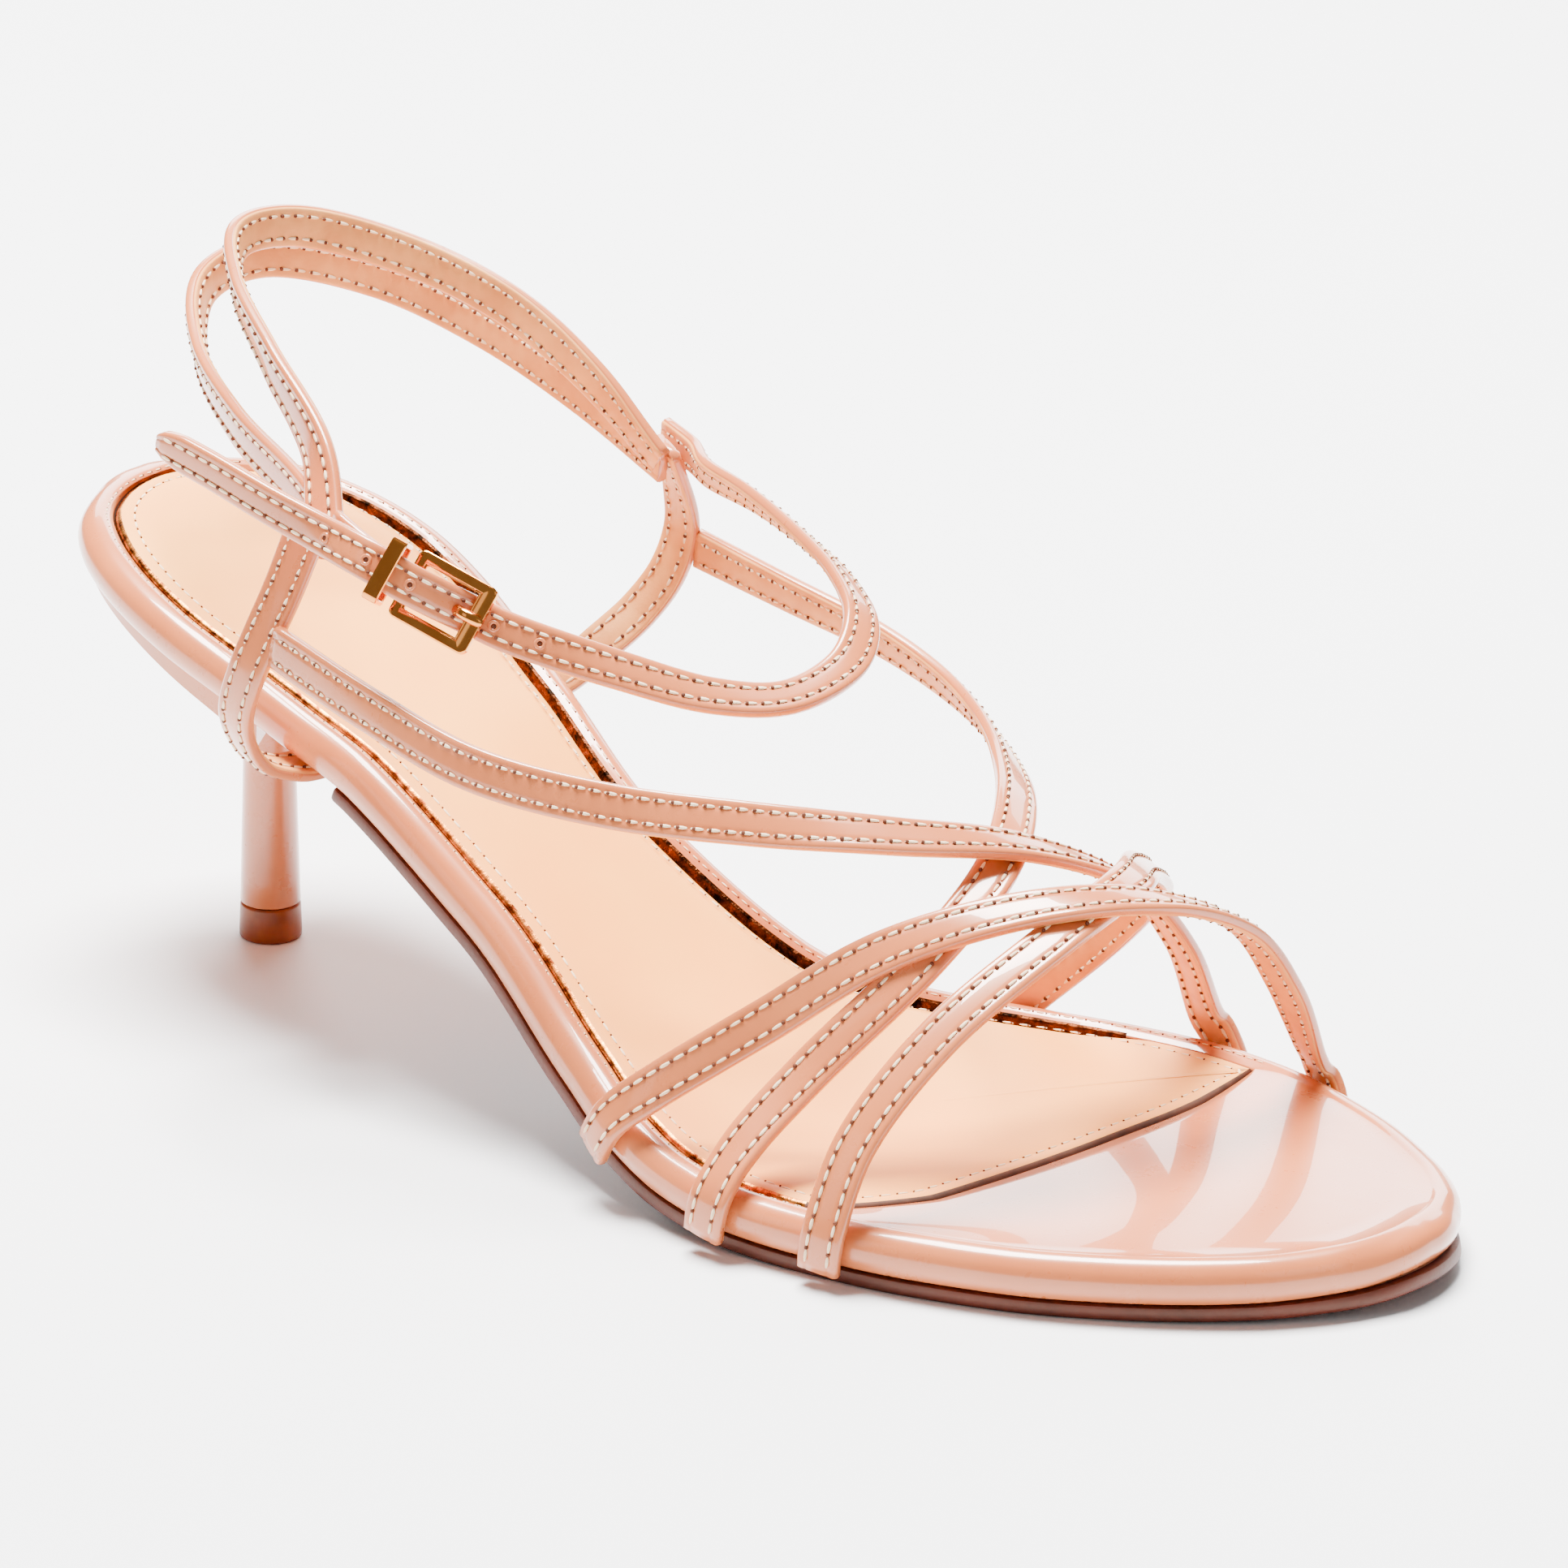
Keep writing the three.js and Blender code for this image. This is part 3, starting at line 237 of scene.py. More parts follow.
class SoleForm:
    """The last's sole: its feather line, its height and places beside it."""

    def __init__(self) -> None:
        """Prepare the tables."""
        along, lateral, medial, rise = np.asarray(SOLE, float).T
        inner = np.clip(np.arange(len(along)), 1, len(along) - 2)
        sine = np.sin(np.arccos(1 - 2 * along[inner]))
        self.along = along
        self.rise = rise
        self.angle = np.arccos(1 - 2 * along)
        self.full = {Side.LATERAL: lateral[inner] / sine, Side.MEDIAL: medial[inner] / sine}
        grid = 2 * math.pi / CAD_TURNS
        self.front_from = math.floor(self.turn_at(FRONT_LATERAL_ALONG) / grid) * grid
        medial = 2 * math.pi - self.turn_at(FRONT_MEDIAL_ALONG)
        self.front_to = math.ceil(medial / grid) * grid

    @staticmethod
    def turn_at(along: float) -> float:
        """Return the loop angle of a share of the way from heel to toe."""
        return math.acos(1 - 2 * along)

    def height(self, y: np.ndarray) -> np.ndarray:
        """Return the feather line's height above the floor at a place from heel to toe."""
        share = (HEEL_BACK_Y - np.asarray(y, float)) / LENGTH
        return TREAD + HEEL_RISE / 100 * monotone(self.along, self.rise, share)

    def up(self, y: np.ndarray) -> np.ndarray:
        """Return the direction square to the sole's long curve."""
        step = 1.5 * MM
        rise = (self.height(y + step) - self.height(y - step)) / (2 * step)
        return unit(np.stack([np.zeros_like(rise), -rise, np.ones_like(rise)], axis=-1))

    def feather(self, turn: np.ndarray) -> np.ndarray:
        """Return points of the feather line, from the heel by the outer side and back."""
        turn = np.mod(turn, 2 * math.pi)
        outer = turn <= math.pi
        half = np.where(outer, turn, 2 * math.pi - turn)
        y = HEEL_BACK_Y - (1 - np.cos(half)) / 2 * LENGTH
        full = np.where(
            outer,
            monotone(self.angle, self.full[Side.LATERAL], half),
            monotone(self.angle, self.full[Side.MEDIAL], half),
        )
        x = np.sin(half) * full * BALL_WIDTH / 100 * np.where(outer, -1, 1)
        return np.stack([x, y, self.height(y)], axis=-1)

    def beside(self, turn: np.ndarray, outward: np.ndarray, lift: np.ndarray) -> np.ndarray:
        """Return feather line points moved outward in plan, then lifted off the sole."""
        turn = np.asarray(turn, float)
        way = self.feather(turn + 0.03) - self.feather(turn - 0.03)
        out = unit(np.stack([way[..., 1], -way[..., 0], np.zeros_like(way[..., 0])], axis=-1))
        point = self.feather(turn) + out * np.asarray(outward, float)[..., None]
        return self.on(point[..., 0], point[..., 1], lift)

    def on(self, x: np.ndarray, y: np.ndarray, lift: np.ndarray) -> np.ndarray:
        """Return points at a lift above the sole over places in plan."""
        ground = np.stack([x, y, self.height(y)], axis=-1)
        return ground + self.up(y) * np.asarray(lift, float)[..., None]

    def spine(
        self, turn: np.ndarray, lift: float, start: float = 0.11, end: float = 0.9
    ) -> np.ndarray:
        """Return points of the sole's middle line, held short of both ends."""
        turn = np.mod(turn, 2 * math.pi)
        half = np.where(turn <= math.pi, turn, 2 * math.pi - turn)
        along = np.clip((1 - np.cos(half)) / 2, start, end)
        at = np.arccos(1 - 2 * along)
        x = (self.feather(at)[..., 0] + self.feather(2 * math.pi - at)[..., 0]) / 2
        return self.on(x, HEEL_BACK_Y - along * LENGTH, np.full_like(x, lift))

    def sock_edge(self, turn: np.ndarray, inset: float, lift: float) -> np.ndarray:
        """Return points of the sock's outline, cut short in front by its slanting edge."""
        side = self.beside(
            turn, np.full_like(turn, -GROOVE_INSET - inset), np.full_like(turn, lift)
        )
        ends = np.array([self.front_from, self.front_to])
        start, end = self.beside(ends, np.full(2, -GROOVE_INSET - inset), np.zeros(2))
        share = np.clip((turn - ends[0]) / (ends[1] - ends[0]), 0, 1)
        places, xs, ys = np.asarray(SOCK_FRONT, float).T
        x = BALL_WIDTH / 100 * monotone(places, xs, share)
        y = LENGTH / 100 * monotone(places, ys, share) + inset
        blend = np.maximum(0, 1 - share * 6)
        tail = np.maximum(0, share * 6 - 5)
        px = x + (start[0] - x) * blend + (end[0] - x) * tail
        py = y + (start[1] - y) * blend + (end[1] - y) * tail
        front = self.on(px, py, np.full_like(px, lift))
        inside = (turn > ends[0]) & (turn < ends[1])
        return np.where(inside[:, None], front, side)

    def tuck(self, turn: np.ndarray) -> np.ndarray:
        """Return how much less the rim stands out at the heel and the toe."""
        return RIM_END_TUCK * (1 - np.clip(np.abs(np.sin(turn)) * 2.2, 0, 1))


FORM = SoleForm()


@dataclass
class Sheet:
    """A mesh under construction: points, faces, a finish for each face and a map."""

    points: list = field(default_factory=list)
    faces: list = field(default_factory=list)
    finishes: list = field(default_factory=list)
    maps: list = field(default_factory=list)

    def loft(
        self,
        rings: Sequence[np.ndarray],
        finish: Callable[[int, int], int] | int = 0,
        closed: bool = True,
        start: bool = False,
        end: bool = False,
        uvs: Sequence[np.ndarray] | None = None,
    ) -> None:
        """Join rings of equally many points by quads.

        Args:
            rings: The rings, in order.
            finish: The material index, or what gives it from the ring and the point.
            closed: Whether each ring closes on itself.
            start: Whether the first ring is filled.
            end: Whether the last ring is filled.
            uvs: The map at each ring's points, one point longer where the rings close.
        """
        base = len(self.points)
        n = len(rings[0])
        self.points.extend(np.vstack(rings).tolist())
        last = n if closed else n - 1
        for r in range(len(rings) - 1):
            for i in range(last):
                j = (i + 1) % n
                a, b = base + r * n, base + (r + 1) * n
                self.faces.append((a + i, a + j, b + j, b + i))
                self.finishes.append(finish(r, i) if callable(finish) else finish)
                if uvs is not None:
                    k = i + 1
                    self.maps.append((uvs[r][i], uvs[r][k], uvs[r + 1][k], uvs[r + 1][i]))
        for wanted, r in ((start, 0), (end, len(rings) - 1)):
            if wanted:
                self.fan(
                    base + r * n,
                    n,
                    r == 0,
                    finish(max(r - 1, 0), 0) if callable(finish) else finish,
                )

    def fan(self, first: int, count: int, flip: bool, finish: int) -> None:
        """Fill a ring with a fan about its middle.

        Args:
            first: The index of the ring's first point.
            count: How many points the ring has.
            flip: Whether the fan faces the ring's start.
            finish: The material index.
        """
        middle = np.mean(self.points[first : first + count], axis=0).tolist()
        self.points.append(middle)
        m = len(self.points) - 1
        for i in range(count):
            j = (i + 1) % count
            face = (first + j, first + i, m) if flip else (first + i, first + j, m)
            self.faces.append(face)
            self.finishes.append(finish)
            if self.maps:
                self.maps.append(((0, 0), (0, 0), (0, 0)))

    def build(self, name: str, materials: Sequence[bpy.types.Material]) -> bpy.types.Object:
        """Make the mesh and its object, smooth shaded, with doubles merged and faces outward.

        Args:
            name: The piece's name.
            materials: The finishes, in the order of the material indices.

        Returns:
            The piece, at the origin.
        """
        points = np.asarray(self.points, float)
        points[:, 0] += HEEL_TO_TOE_X
        mesh = bpy.data.meshes.new(name)
        mesh.from_pydata(points.tolist(), [], self.faces)
        mesh.polygons.foreach_set("material_index", self.finishes)
        if self.maps:
            layer = mesh.uv_layers.new(name="UVMap")
            layer.data.foreach_set("uv", np.concatenate([np.ravel(m) for m in self.maps]))
        for material in materials:
            mesh.materials.append(material)
        mesh.polygons.foreach_set("use_smooth", [True] * len(mesh.polygons))
        return finished(name, mesh)


def finished(name: str, mesh: bpy.types.Mesh) -> bpy.types.Object:
    """Merge a mesh's doubles, turn its faces outward and link it as an object."""
    work = bmesh.new()
    work.from_mesh(mesh)
    bmesh.ops.remove_doubles(work, verts=work.verts, dist=1e-7)
    bmesh.ops.dissolve_degenerate(work, edges=work.edges, dist=1e-8)
    bmesh.ops.recalc_face_normals(work, faces=work.faces)
    work.to_mesh(mesh)
    work.free()
    piece = bpy.data.objects.new(name, mesh)
    bpy.context.scene.collection.objects.link(piece)
    return piece


def crease(piece: bpy.types.Object, degrees: float) -> None:
    """Mark edges sharper than an angle, so that they stay crisp when shaded smooth."""
    piece.data.set_sharp_from_angle(angle=math.radians(degrees))


def settle(piece: bpy.types.Object, slot: Slot, *nodes: str) -> bpy.types.Object:
    """Put a piece on the body and hide the CAD nodes that it stands for.

    Args:
        piece: The finished piece.
        slot: The record's material slot; not used.
        nodes: The CAD nodes that it stands for.

    Returns:
        The same piece.
    """
    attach(piece, BODY)
    if nodes:
        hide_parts(*nodes)
    LOG.info("%s: %d faces", piece.name, len(piece.data.polygons))
    return piece


# Finishes


class Nodes:
    """Short ways to add and join shader nodes."""

    def __init__(self, tree: bpy.types.NodeTree) -> None:
        """Hold the tree."""
        self.tree = tree

    def add(self, kind: str, **settings: object) -> bpy.types.Node:
        """Add a node and set its properties."""
        node = self.tree.nodes.new(kind)
        for key, value in settings.items():
            setattr(node, key, value)
        return node

    def join(self, a: bpy.types.NodeSocket, b: bpy.types.NodeSocket) -> None:
        """Link two sockets."""
        self.tree.links.new(a, b)


def grain_group() -> bpy.types.NodeTree:
    """Build the shader group that varies a surface: tone, roughness and fine height.

    Returns:
        A group with inputs Light, Dark, Patch Scale, Grain Scale, Roughness, Spread
        and outputs Color, Roughness and Height.
    """
    found = bpy.data.node_groups.get("Surface variation")
    if found:
        return found
    tree = bpy.data.node_groups.new("Surface variation", "ShaderNodeTree")
    sockets = (
        ("Light", "NodeSocketColor"),
        ("Dark", "NodeSocketColor"),
        ("Patch Scale", "NodeSocketFloat"),
        ("Grain Scale", "NodeSocketFloat"),
        ("Roughness", "NodeSocketFloat"),
        ("Spread", "NodeSocketFloat"),
    )
    for name, kind in sockets:
        tree.interface.new_socket(name, in_out="INPUT", socket_type=kind)
    for name, kind in (
        ("Color", "NodeSocketColor"),
        ("Roughness", "NodeSocketFloat"),
        ("Height", "NodeSocketFloat"),
    ):
        tree.interface.new_socket(name, in_out="OUTPUT", socket_type=kind)
    n = Nodes(tree)
    given = n.add("NodeGroupInput")
    out = n.add("NodeGroupOutput")
    place = n.add("ShaderNodeTexCoord")
    patch = n.add("ShaderNodeTexNoise")
    patch.inputs["Detail"].default_value = 3.0
    grain = n.add("ShaderNodeTexNoise")
    grain.inputs["Detail"].default_value = 4.0
    grain.inputs["Roughness"].default_value = 0.6
    n.join(place.outputs["Object"], patch.inputs["Vector"])
    n.join(place.outputs["Object"], grain.inputs["Vector"])
    n.join(given.outputs["Patch Scale"], patch.inputs["Scale"])
    n.join(given.outputs["Grain Scale"], grain.inputs["Scale"])
    ramp = n.add("ShaderNodeMapRange")
    ramp.inputs["From Min"].default_value = 0.35
    ramp.inputs["From Max"].default_value = 0.65
    n.join(patch.outputs["Fac"], ramp.inputs["Value"])
    mix = n.add("ShaderNodeMix", data_type="RGBA")
    n.join(ramp.outputs["Result"], mix.inputs["Factor"])
    n.join(given.outputs["Dark"], mix.inputs["A"])
    n.join(given.outputs["Light"], mix.inputs["B"])
    n.join(mix.outputs["Result"], out.inputs["Color"])
    spread = n.add("ShaderNodeMath", operation="MULTIPLY_ADD")
    n.join(grain.outputs["Fac"], spread.inputs[0])
    n.join(given.outputs["Spread"], spread.inputs[1])
    n.join(given.outputs["Roughness"], spread.inputs[2])
    n.join(spread.outputs["Value"], out.inputs["Roughness"])
    n.join(grain.outputs["Fac"], out.inputs["Height"])
    return tree


@dataclass(frozen=True)
class Finish:
    """A finish: two close tones, gloss, grain and what lies over it."""

    name: str
    light: tuple[float, float, float]
    dark: tuple[float, float, float]
    roughness: float
    spread: float = 0.05
    patch_scale: float = 60.0
    grain_scale: float = 900.0
    grain_depth: float = 0.00002
    grain_strength: float = 0.3
    metallic: float = 0.0
    coat: float = 0.0
    coat_roughness: float = 0.03
    specular: float = 0.5
    subsurface: float = 0.0

    def material(self) -> bpy.types.Material:
        """Make the material once and return it on every later call."""
        found = bpy.data.materials.get(self.name)
        if found:
            return found
        made = bpy.data.materials.new(self.name)
        made.use_nodes = True
        made.diffuse_color = (*self.light, 1.0)
        n = Nodes(made.node_tree)
        shader = made.node_tree.nodes["Principled BSDF"]
        group = n.add("ShaderNodeGroup", node_tree=grain_group())
        group.inputs["Light"].default_value = (*self.light, 1.0)
        group.inputs["Dark"].default_value = (*self.dark, 1.0)
        group.inputs["Patch Scale"].default_value = self.patch_scale
        group.inputs["Grain Scale"].default_value = self.grain_scale
        group.inputs["Roughness"].default_value = self.roughness
        group.inputs["Spread"].default_value = self.spread
        bump = n.add("ShaderNodeBump")
        bump.inputs["Strength"].default_value = self.grain_strength
        bump.inputs["Distance"].default_value = self.grain_depth
        n.join(group.outputs["Height"], bump.inputs["Height"])
        n.join(group.outputs["Color"], shader.inputs["Base Color"])
        n.join(group.outputs["Roughness"], shader.inputs["Roughness"])
        n.join(bump.outputs["Normal"], shader.inputs["Normal"])
        shader.inputs["Metallic"].default_value = self.metallic
        shader.inputs["Coat Weight"].default_value = self.coat
        shader.inputs["Coat Roughness"].default_value = self.coat_roughness
        shader.inputs["Specular IOR Level"].default_value = self.specular
        shader.inputs["Specular Tint"].default_value = REFLECTION_TINT
        shader.inputs["Subsurface Weight"].default_value = self.subsurface
        shader.inputs["Subsurface Scale"].default_value = LIGHT_DEPTH
        return made


def srgb(red: int, green: int, blue: int) -> tuple[float, float, float]:
    """Turn a colour as seen, 0 to 255, into scene-linear numbers."""
    def one(v: int) -> float:
        """Turn one channel."""
        c = v / 255
        return c / 12.92 if c <= 0.04045 else ((c + 0.055) / 1.055) ** 2.4

    return (one(red), one(green), one(blue))


PATENT = Finish(
    "Nude pink patent",
    srgb(204, 114, 66),
    srgb(195, 105, 58),
    0.25,
    spread=0.06,
    patch_scale=45,
    grain_scale=240,
    grain_depth=0.00006,
    grain_strength=0.10,
    coat=0.7,
    coat_roughness=0.02,
)
LINING = Finish(
    "Beige lining leather",
    srgb(238, 164, 94),
    srgb(220, 142, 76),
    0.45,
    spread=0.15,
    patch_scale=150,
    grain_scale=2200,
    grain_depth=0.00008,
    grain_strength=0.5,
    specular=0.4,
)
SOCK = Finish(
    "Peach beige sock",
    srgb(252, 168, 76),
    srgb(248, 158, 68),
    0.5,
    spread=0.10,
    patch_scale=35,
    grain_scale=1700,
    grain_depth=0.00004,
    grain_strength=0.35,
    specular=0.35,
)
FOIL = Finish(
    "Rose gold foil",
    srgb(226, 140, 62),
    srgb(90, 38, 14),
    0.22,
    spread=0.1,
    patch_scale=700,
    grain_scale=1500,
    grain_depth=0.0001,
    grain_strength=0.5,
    metallic=1.0,
)
# Painted shade: a bronze foil whose near-black dark tone stands in for the shade along the
# inner arch's groove.
BRONZE_AND_SHADE = Finish(
    "Bronze foil with painted shade",
    srgb(92, 46, 22),
    srgb(14, 7, 4),
    0.2,
    spread=0.2,
    patch_scale=520,
    grain_scale=900,
    grain_depth=0.0004,
    grain_strength=0.9,
    metallic=1.0,
)
# Painted shade: a dark brown that stands in for the shade in the groove between the rim and the
# sock.
GROOVE_SHADE = Finish(
    "Painted groove shade",
    srgb(86, 52, 38),
    srgb(60, 34, 24),
    0.7,
    patch_scale=300,
    grain_scale=1500,
)
THREAD = Finish(
    "Cream thread",
    srgb(252, 226, 186),
    srgb(242, 210, 168),
    0.5,
    spread=0.1,
    patch_scale=400,
    grain_scale=5000,
    grain_depth=0.0001,
    grain_strength=0.8,
)
# Painted shade: dark dots that stand in for the shade inside needle holes and punched holes.
NEEDLE_HOLE_SHADE = Finish(
    "Painted needle hole shade",
    srgb(104, 52, 30),
    srgb(80, 38, 22),
    0.8,
    patch_scale=500,
    grain_scale=2000,
)
OUTSOLE = Finish(
    "Red brown outsole",
    srgb(90, 32, 20),
    srgb(72, 24, 13),
    0.38,
    spread=0.15,
    patch_scale=80,
    grain_scale=1600,
    grain_depth=0.00008,
    grain_strength=0.5,
)
AMBER = Finish(
    "Amber heel tip",
    srgb(150, 66, 2),
    srgb(118, 44, 1),
    0.28,
    spread=0.08,
    patch_scale=160,
    grain_scale=1200,
    grain_depth=0.00006,
    grain_strength=0.4,
    subsurface=0.5,
)
GOLD = Finish(
    "Polished gold",
    srgb(226, 146, 72),
    srgb(220, 134, 62),
    0.10,
    spread=0.05,
    patch_scale=300,
    grain_scale=600,
    grain_depth=0.00003,
    grain_strength=0.2,
    metallic=1.0,
)


# Trees that place what repeats


class InstanceTree:
    """Short ways to build a geometry tree with named inputs."""

    def __init__(self, name: str, inputs: Sequence[tuple[str, str, object]]) -> None:
        """Start a tree.

        Args:
            name: The tree's name.
            inputs: The name, socket type and first value of each input.
        """
        self.tree = bpy.data.node_groups.new(name, "GeometryNodeTree")
        face = self.tree.interface
        face.new_socket("Geometry", in_out="INPUT", socket_type="NodeSocketGeometry")
        for label, kind, value in inputs:
            socket = face.new_socket(label, in_out="INPUT", socket_type=kind)
            if value is not None:
                socket.default_value = value
        face.new_socket("Geometry", in_out="OUTPUT", socket_type="NodeSocketGeometry")
        self.n = Nodes(self.tree)
        self.given = self.n.add("NodeGroupInput")
        self.out = self.n.add("NodeGroupOutput")

    def turned(self, first: bpy.types.NodeSocket) -> bpy.types.NodeSocket:
        """Return rotations with X along a direction and Z along the stored facing."""
        along = self.n.add("FunctionNodeAlignRotationToVector", axis="X")
        self.n.join(first, along.inputs["Vector"])
        facing = self.n.add("GeometryNodeInputNamedAttribute", data_type="FLOAT_VECTOR")
        facing.inputs["Name"].default_value = "facing"
        square = self.n.add("FunctionNodeAlignRotationToVector", axis="Z", pivot_axis="X")
        self.n.join(along.outputs["Rotation"], square.inputs["Rotation"])
        self.n.join(facing.outputs["Attribute"], square.inputs["Vector"])
        return square.outputs["Rotation"]

    def finished(self, shapes: Sequence[bpy.types.NodeSocket]) -> bpy.types.NodeTree:
        """Join the shapes, make them smooth and close the tree."""
        join = self.n.add("GeometryNodeJoinGeometry")
        for shape in shapes:
            self.n.join(shape, join.inputs["Geometry"])
        smooth = self.n.add("GeometryNodeSetShadeSmooth")
        self.n.join(join.outputs["Geometry"], smooth.inputs["Geometry"])
        self.n.join(smooth.outputs["Geometry"], self.out.inputs["Geometry"])
        return self.tree


def stitch_tree() -> bpy.types.NodeTree:
    """Build the tree that sews thread, and dark dots of painted shade at its needle holes,
    along guide lines.

    Returns:
        A tree with inputs Pitch, Stitch Length, Stitch Width, Stitch Height, Hole Radius,
        Thread, Hole and Seed.
    """
    made = InstanceTree(
        "Stitch rows",
        (
            ("Pitch", "NodeSocketFloat", 0.0022),
            ("Stitch Length", "NodeSocketFloat", 0.0016),
            ("Stitch Width", "NodeSocketFloat", 0.0004),
            ("Stitch Height", "NodeSocketFloat", 0.0002),
            ("Hole Radius", "NodeSocketFloat", 0.0002),
            ("Thread", "NodeSocketMaterial", None),
            ("Hole", "NodeSocketMaterial", None),
            ("Seed", "NodeSocketInt", 7),
        ),
    )
    n = made.n
    line = n.add("GeometryNodeMeshToCurve")
    n.join(made.given.outputs["Geometry"], line.inputs["Mesh"])
    half = n.add("ShaderNodeMath", operation="MULTIPLY")
    half.inputs[1].default_value = 0.5
    n.join(made.given.outputs["Pitch"], half.inputs[0])

    def row(
        curve: bpy.types.NodeSocket, size: bpy.types.NodeSocket, material: str
    ) -> bpy.types.NodeSocket:
        """Place one small rounded body at each step of a curve."""
        steps = n.add("GeometryNodeResampleCurve", mode="LENGTH")
        n.join(curve, steps.inputs["Curve"])
        n.join(made.given.outputs["Pitch"], steps.inputs["Length"])
        ball = n.add("GeometryNodeMeshUVSphere")
        ball.inputs["Segments"].default_value = 6
        ball.inputs["Rings"].default_value = 5
        ball.inputs["Radius"].default_value = 0.5
        turn = n.add("GeometryNodeTransform")
        turn.inputs["Rotation"].default_value = (0, math.pi / 2, 0)
        n.join(ball.outputs["Mesh"], turn.inputs["Geometry"])
        place = n.add("GeometryNodeInstanceOnPoints")
        n.join(steps.outputs["Curve"], place.inputs["Points"])
        n.join(turn.outputs["Geometry"], place.inputs["Instance"])
        tangent = n.add("GeometryNodeInputTangent")
        n.join(made.turned(tangent.outputs["Tangent"]), place.inputs["Rotation"])
        vary = n.add("FunctionNodeRandomValue", data_type="FLOAT_VECTOR")
        vary.inputs[0].default_value = (0.9, 0.9, 0.85)
        vary.inputs[1].default_value = (1.08, 1.1, 1.15)
        n.join(made.given.outputs["Seed"], vary.inputs["Seed"])
        scale = n.add("ShaderNodeVectorMath", operation="MULTIPLY")
        n.join(vary.outputs[0], scale.inputs[0])
        n.join(size, scale.inputs[1])
        n.join(scale.outputs["Vector"], place.inputs["Scale"])
        real = n.add("GeometryNodeRealizeInstances")
        n.join(place.outputs["Instances"], real.inputs["Geometry"])
        dress = n.add("GeometryNodeSetMaterial")
        n.join(real.outputs["Geometry"], dress.inputs["Geometry"])
        n.join(made.given.outputs[material], dress.inputs["Material"])
        return dress.outputs["Geometry"]

    size = n.add("ShaderNodeCombineXYZ")
    for axis, name in zip("XYZ", ("Stitch Length", "Stitch Width", "Stitch Height")):
        n.join(made.given.outputs[name], size.inputs[axis])
    dot = n.add("ShaderNodeCombineXYZ")
    for axis in "XYZ":
        n.join(made.given.outputs["Hole Radius"], dot.inputs[axis])
    trim = n.add("GeometryNodeTrimCurve", mode="LENGTH")
    n.join(line.outputs["Curve"], trim.inputs["Curve"])
    n.join(half.outputs["Value"], trim.inputs[4])
    trim.inputs[5].default_value = 10.0
    threads = row(line.outputs["Curve"], size.outputs["Vector"], "Thread")
    # The second row sets dark dots of painted shade at the needle holes between the stitches.
    holes = row(trim.outputs["Curve"], dot.outputs["Vector"], "Hole")
    return made.finished((threads, holes))


def punch_tree() -> bpy.types.NodeTree:
    """Build the tree that sets a raised rim round a dark plug of painted hole shade at each
    guide point.

    Returns:
        A tree with inputs Radius, Rim, Rim Material and Hole Material.
    """
    made = InstanceTree(
        "Punched holes",
        (
            ("Radius", "NodeSocketFloat", 0.0008),
            ("Rim", "NodeSocketFloat", 0.0002),
            ("Rim Material", "NodeSocketMaterial", None),
            ("Hole Material", "NodeSocketMaterial", None),
        ),
    )
    n = made.n
    ring = n.add("GeometryNodeCurvePrimitiveCircle")
    ring.inputs["Resolution"].default_value = 20
    n.join(made.given.outputs["Radius"], ring.inputs["Radius"])
    wire = n.add("GeometryNodeCurvePrimitiveCircle")
    wire.inputs["Resolution"].default_value = 8
    n.join(made.given.outputs["Rim"], wire.inputs["Radius"])
    rim = n.add("GeometryNodeCurveToMesh")
    n.join(ring.outputs["Curve"], rim.inputs["Curve"])
    n.join(wire.outputs["Curve"], rim.inputs["Profile Curve"])
    # The plug is a dark disc of painted shade inside each punched hole.
    plug = n.add("GeometryNodeMeshCylinder")
    plug.inputs["Vertices"].default_value = 20
    plug.inputs["Depth"].default_value = 0.00012
    n.join(made.given.outputs["Radius"], plug.inputs["Radius"])
    shapes = []
    for shape, material in (
        (rim.outputs["Mesh"], "Rim Material"),
        (plug.outputs["Mesh"], "Hole Material"),
    ):
        place = n.add("GeometryNodeInstanceOnPoints")
        points = n.add("GeometryNodeMeshToPoints")
        n.join(made.given.outputs["Geometry"], points.inputs["Mesh"])
        n.join(points.outputs["Points"], place.inputs["Points"])
        n.join(shape, place.inputs["Instance"])
        along = n.add("GeometryNodeInputNamedAttribute", data_type="FLOAT_VECTOR")
        along.inputs["Name"].default_value = "along"
        n.join(made.turned(along.outputs["Attribute"]), place.inputs["Rotation"])
        real = n.add("GeometryNodeRealizeInstances")
        n.join(place.outputs["Instances"], real.inputs["Geometry"])
        dress = n.add("GeometryNodeSetMaterial")
        n.join(real.outputs["Geometry"], dress.inputs["Geometry"])
        n.join(made.given.outputs[material], dress.inputs["Material"])
        shapes.append(dress.outputs["Geometry"])
    return made.finished(shapes)


@dataclass(frozen=True)
class Guide:
    """A line, or loose points, with the directions that its instances take."""

    points: np.ndarray
    facing: np.ndarray
    along: np.ndarray | None = None
    closed: bool = False
    line: bool = True


